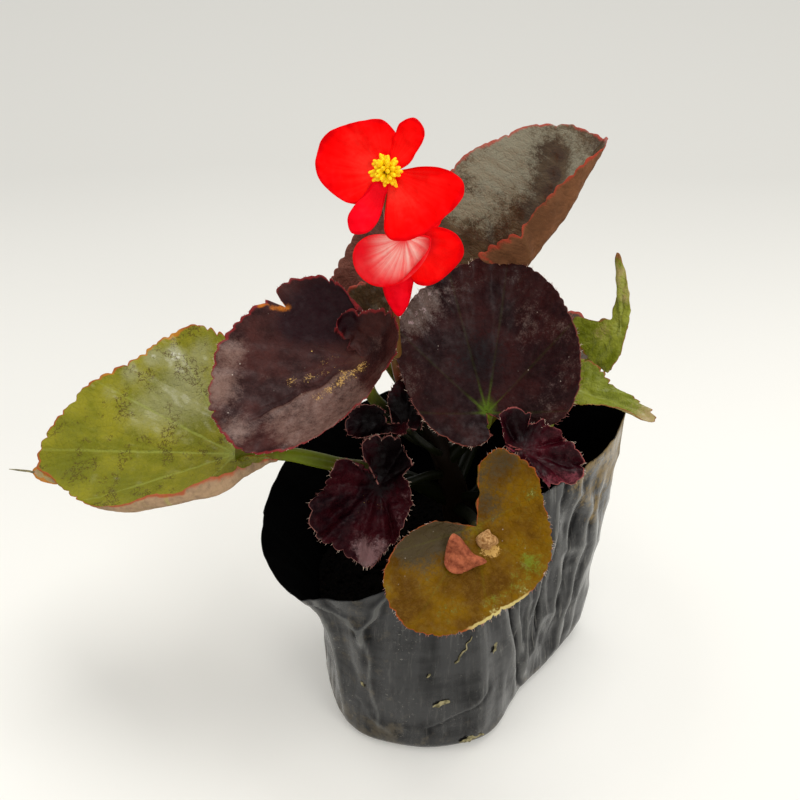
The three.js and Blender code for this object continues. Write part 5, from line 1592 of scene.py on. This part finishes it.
def soil_height(x, y):
    mound = 3 * np.exp(-((x - 3) ** 2 + (y - 6) ** 2) / 300)
    return (SOIL_HEIGHT + mound + 1.1 * np.sin(x / 6.3 + 1) * np.cos(y / 5.1)
            + 0.6 * np.sin(y / 3.3))


def drawn_in(points, middle, gap):
    """Points moved towards a middle by a gap in mm."""
    reach = np.linalg.norm(points - middle, axis=1, keepdims=True)
    return middle + (points - middle) * (1 - gap / reach)


def soil_skin():
    angles = np.linspace(-np.pi, np.pi, SOIL_SIDES, endpoint=False)
    wall = bag_wall(angles, SOIL_SEARCH)
    heart = np.array([wall[..., 0].mean(), wall[..., 1].mean()])
    level = np.abs(wall[..., 2] - SOIL_HEIGHT).argmin(0)
    side = drawn_in(wall[level, np.arange(SOIL_SIDES), :2], heart, SOIL_GAP)
    grow = np.linspace(1 / SOIL_RINGS, 1, SOIL_RINGS)[:, None]
    x = heart[0] + (side[:, 0] - heart[0])[None] * grow
    y = heart[1] + (side[:, 1] - heart[1])[None] * grow
    z = soil_height(x, y) + 0.5 * waves(x, y, 3.2, 81) + 0.3 * waves(x, y, 1.6, 82)
    top = np.stack([x, y, z], -1).reshape(-1, 3)
    foot = by_angle(BAG_BASE, angles)
    foot = foot * (1 - SOIL_FOOT / np.linalg.norm(foot[:, :2], axis=1, keepdims=True))
    foot[:, 2] = SOIL_FLOOR
    index, squares = grid_faces(SOIL_RINGS, SOIL_SIDES, closed=True)
    faces = squares.tolist()
    inner, rim = index[0].tolist(), index[-1].tolist()
    hub, base = len(top), len(top) + 1
    feet = [base + 1 + j for j in range(SOIL_SIDES)] + [base + 1]
    for j in range(SOIL_SIDES):
        faces += [(hub, inner[j], inner[j + 1]), (rim[j], feet[j], feet[j + 1], rim[j + 1]),
                  (base, feet[j + 1], feet[j])]
    hubs = [[*heart, soil_height(*heart)], [*heart, SOIL_FLOOR]]
    return np.vstack([top, hubs, foot]), faces


# %% The rule for grains
def grain_growth():
    """Scatters flattened grains over faces, as thickly as the skin's own grit map says."""
    rule = Growth("grains", Density="Float", Size="Float", Seed="Int", Finish="Material")
    grit = rule.add("GeometryNodeInputNamedAttribute", {"data_type": "FLOAT"}, {"Name": "grit"})
    points = rule.add("GeometryNodeDistributePointsOnFaces", {},
                      {"Mesh": rule.given("Geometry"), "Density": rule.given("Density") * grit,
                       "Seed": rule.given("Seed")})
    turned = Wire(rule, points.socket.node.outputs["Rotation"])
    grain = rule.add("GeometryNodeMeshIcoSphere", {}, {"Radius": 1.0, "Subdivisions": 1})
    size = rule.given("Size") * (rule.random(0.45, 1.25, shift=3) ** 2)
    scale = rule.add("ShaderNodeCombineXYZ", {},
                     {"X": size * rule.random(0.6, 1.4, shift=4),
                      "Y": size * rule.random(0.6, 1.4, shift=5), "Z": size * 0.6})
    placed = rule.add("GeometryNodeInstanceOnPoints", {},
                      {"Points": points, "Instance": grain, "Rotation": turned, "Scale": scale})
    rule.finish(placed)
    return rule


GRAINS = grain_growth()
print("rule:", GRAINS.tree.name)

# %% The soil and its crumbs
# near black: dark peat, painted darker still as painted shade inside the bag
mix, crumb = grainy("potting_mix", 1.3, (2, 2, 2), (18, 13, 10), 0.35, 0.75, 6, 0.7,
                    Specular_IOR_Level=0.04)
mix.feed("Roughness", crumb * 0.2 + 0.8)
mix.relief(crumb * 0.8)
soil = piece("soil_mix", soil_skin(), mix, "soil")
open_top = np.arange(len(soil.data.vertices)) < SOIL_SIDES * (SOIL_RINGS - 1)
keep_map(soil.data, "grit", open_top)
crumbs = grown("soil_crumbs", soil, GRAINS, mix,
               {"Density": CRUMB_DENSITY, "Size": CRUMB * MM, "Seed": 9})
print("soil crumbs:", len(crumbs.data.polygons) // 20)

# %% [markdown]
# ## Hairs, dust and grit on the leaves
# Fine pale hairs stand along the margins of the dark leaves and in the notch of the front one.
# Golden dust has gathered by the stalk and along the ribs. Both are far too small to place one by
# one, so the growth rules set them: hairs on points of the margin, grains where a leaf's own grit
# map is high.

# %% Hairs on the margins
HAIR_EVERY, HAIR_LENGTH, HAIR_FOOT = 1.15, 0.95, 0.05  # mm

hair, _ = grainy("leaf_hair", 6, (150, 92, 84), (214, 190, 170), 0.4, 0.6, 1,
                 Specular_IOR_Level=0.3, Roughness=0.5)


def margin_of(name):
    """Points of a leaf's margin, and the way out from each, both in mm."""
    share, closed = LEAVES[name].get("share", 1), LEAVES[name].get("closed")
    rings, columns = int(RINGS * share), int(COLUMNS * share) + (0 if closed else 1)
    points = (leaf_skins[name][0] * MM).astype(np.float32) / MM
    grid = points[: rings * columns].reshape(rings, columns, 3)
    return grid[-1], unit(grid[-1] - grid[-4])


hair_count = 0
for number, (name, leaf) in enumerate(LEAVES.items()):
    if not leaf.get("hairs"):
        continue
    edge, outward = margin_of(name)
    rng = np.random.default_rng(40 + number)
    run = np.concatenate([[0], np.cumsum(np.linalg.norm(np.diff(edge, axis=0), axis=1))])
    count = int(run[-1] / HAIR_EVERY)
    places = np.sort(rng.uniform(0, run[-1], count))
    picked = np.searchsorted(run, places).clip(0, len(edge) - 1)
    ways = outward[picked] + rng.normal(0, 0.35, (count, 3)) + 0.2 * unit(leaf["face"])
    grown_on_points(name + "_hairs", edge[picked] - 0.1 * outward[picked], ways, hair,
                    {"Length": HAIR_LENGTH * leaf["hairs"] * MM, "Foot": HAIR_FOOT,
                     "Head": 0.0, "Seed": number})
    hair_count += count
print("hairs:", hair_count)

# %% Dust and grit
DUST_SIZE, DUST_DENSITY = 0.13, 1.6e6  # mm, and grains on a square metre where grit is 1

dust, _ = grainy("golden_dust", 0.8, (150, 104, 36), (222, 186, 106), 0.4, 0.6, 2,
                 Specular_IOR_Level=0.2, Roughness=0.7)
for name, leaf in LEAVES.items():
    if "grit" not in leaf:
        continue
    points, faces, maps, flat = leaf_skins[name]
    x, y = ((flat / FLAT_UNIT).astype(np.float32) * FLAT_UNIT).astype(float).T
    patchy = (waves(x, y, 6, 91) * 0.5 + 0.5).clip(0, 1)
    grit = spots_at(x, y, leaf["grit"]) * patchy * maps["upper"]
    leaf_mesh = made_leaves[name].data
    leaf_mesh.attributes["grit"].data.foreach_set("value", grit.astype(np.float32))
    grains = grown(name + "_dust", made_leaves[name], GRAINS, dust,
                   {"Density": DUST_DENSITY, "Size": DUST_SIZE * MM, "Seed": 3})
    print(name, "grains:", len(grains.data.polygons) // 20)

# %% [markdown]
# ## The dried petal
# A dried brown petal has fallen on the front leaf. It is a small closed blade in that leaf's own
# frame, curled up at its rim.

# %% The dried petal
SCRAP_RIM = [(1.2, -8.2, 4.4), (3.6, -9.6, 2.4), (7, -10.9, 1.8), (9.2, -10, 1.6),
             (10.2, -7.6, 1.6), (9.8, -4, 1.8), (9.4, -0.5, 2.4), (8, -1.2, 2.1), (6.4, -3, 1.9),
             (3.6, -4.2, 2.4), (1.4, -5.2, 3.6), (0.1, -6.8, 5)]
SCRAP_MIDDLE = (6.4, -6.4, 3.4)
LUMP_MIDDLE, LUMP_REACH = (4.2, 1.2, 3), 2.5


def on_leaf(leaf, *place):
    """A place in the frame of a leaf, given along, across and off it, in the plant's frame."""
    return np.array(leaf["at"]) + sum(mm * way for mm, way in zip(place, frame_of(leaf)))


host = LEAVES["leaf_front_olive"]
lying = {"face": host["face"], "tip": host["tip"], "closed": True}
scrap_shape = dict(lying, at=on_leaf(host, *SCRAP_MIDDLE),
                   rim=[tuple(np.subtract(p, SCRAP_MIDDLE)) for p in SCRAP_RIM],
                   creases=[(-5, -1, 4, 4, 0.8, -0.9, 0), (0, -4, 4, 1, 0.7, 0.6, 0)])
dry, dry_soft = grainy("dry_petal", 2.5, (116, 50, 26), (186, 102, 66), 0.3, 0.7, 4, 0.7,
                       Specular_IOR_Level=0.3)
dry_fine = dry.noise(0.5, 4, 0.7)
dry.feed("Roughness", dry_fine * 0.3 + 0.6)
dry.relief(dry_soft * 0.8 + dry_fine * 0.3)
piece("dry_petal_skin", blade(scrap_shape, 110, 26, 501, thick=(0.5, 0.3), uneven=0.5), dry,
      "dry_petal")

# %% The crumb beside it
lump, lump_noise = grainy("dry_crumb", 0.8, (140, 96, 48), (206, 160, 106), detail=4, rough=0.7,
                          Specular_IOR_Level=0.2, Roughness=0.75)
lump.relief(lump_noise * 0.5)
turn = np.linspace(0, 2 * np.pi, 12, endpoint=False)
reach = LUMP_REACH * (1 + 0.16 * waves(turn * 3, 0, 4, 7))
lump_shape = dict(lying, at=on_leaf(host, *LUMP_MIDDLE),
                  rim=[(r * math.cos(t), r * math.sin(t), -2) for t, r in zip(turn, reach)])
piece("dry_crumb", blade(lump_shape, 72, 20, 502, thick=(0.8, 0.5), uneven=0.6), lump)
print("dried petal and crumb made")
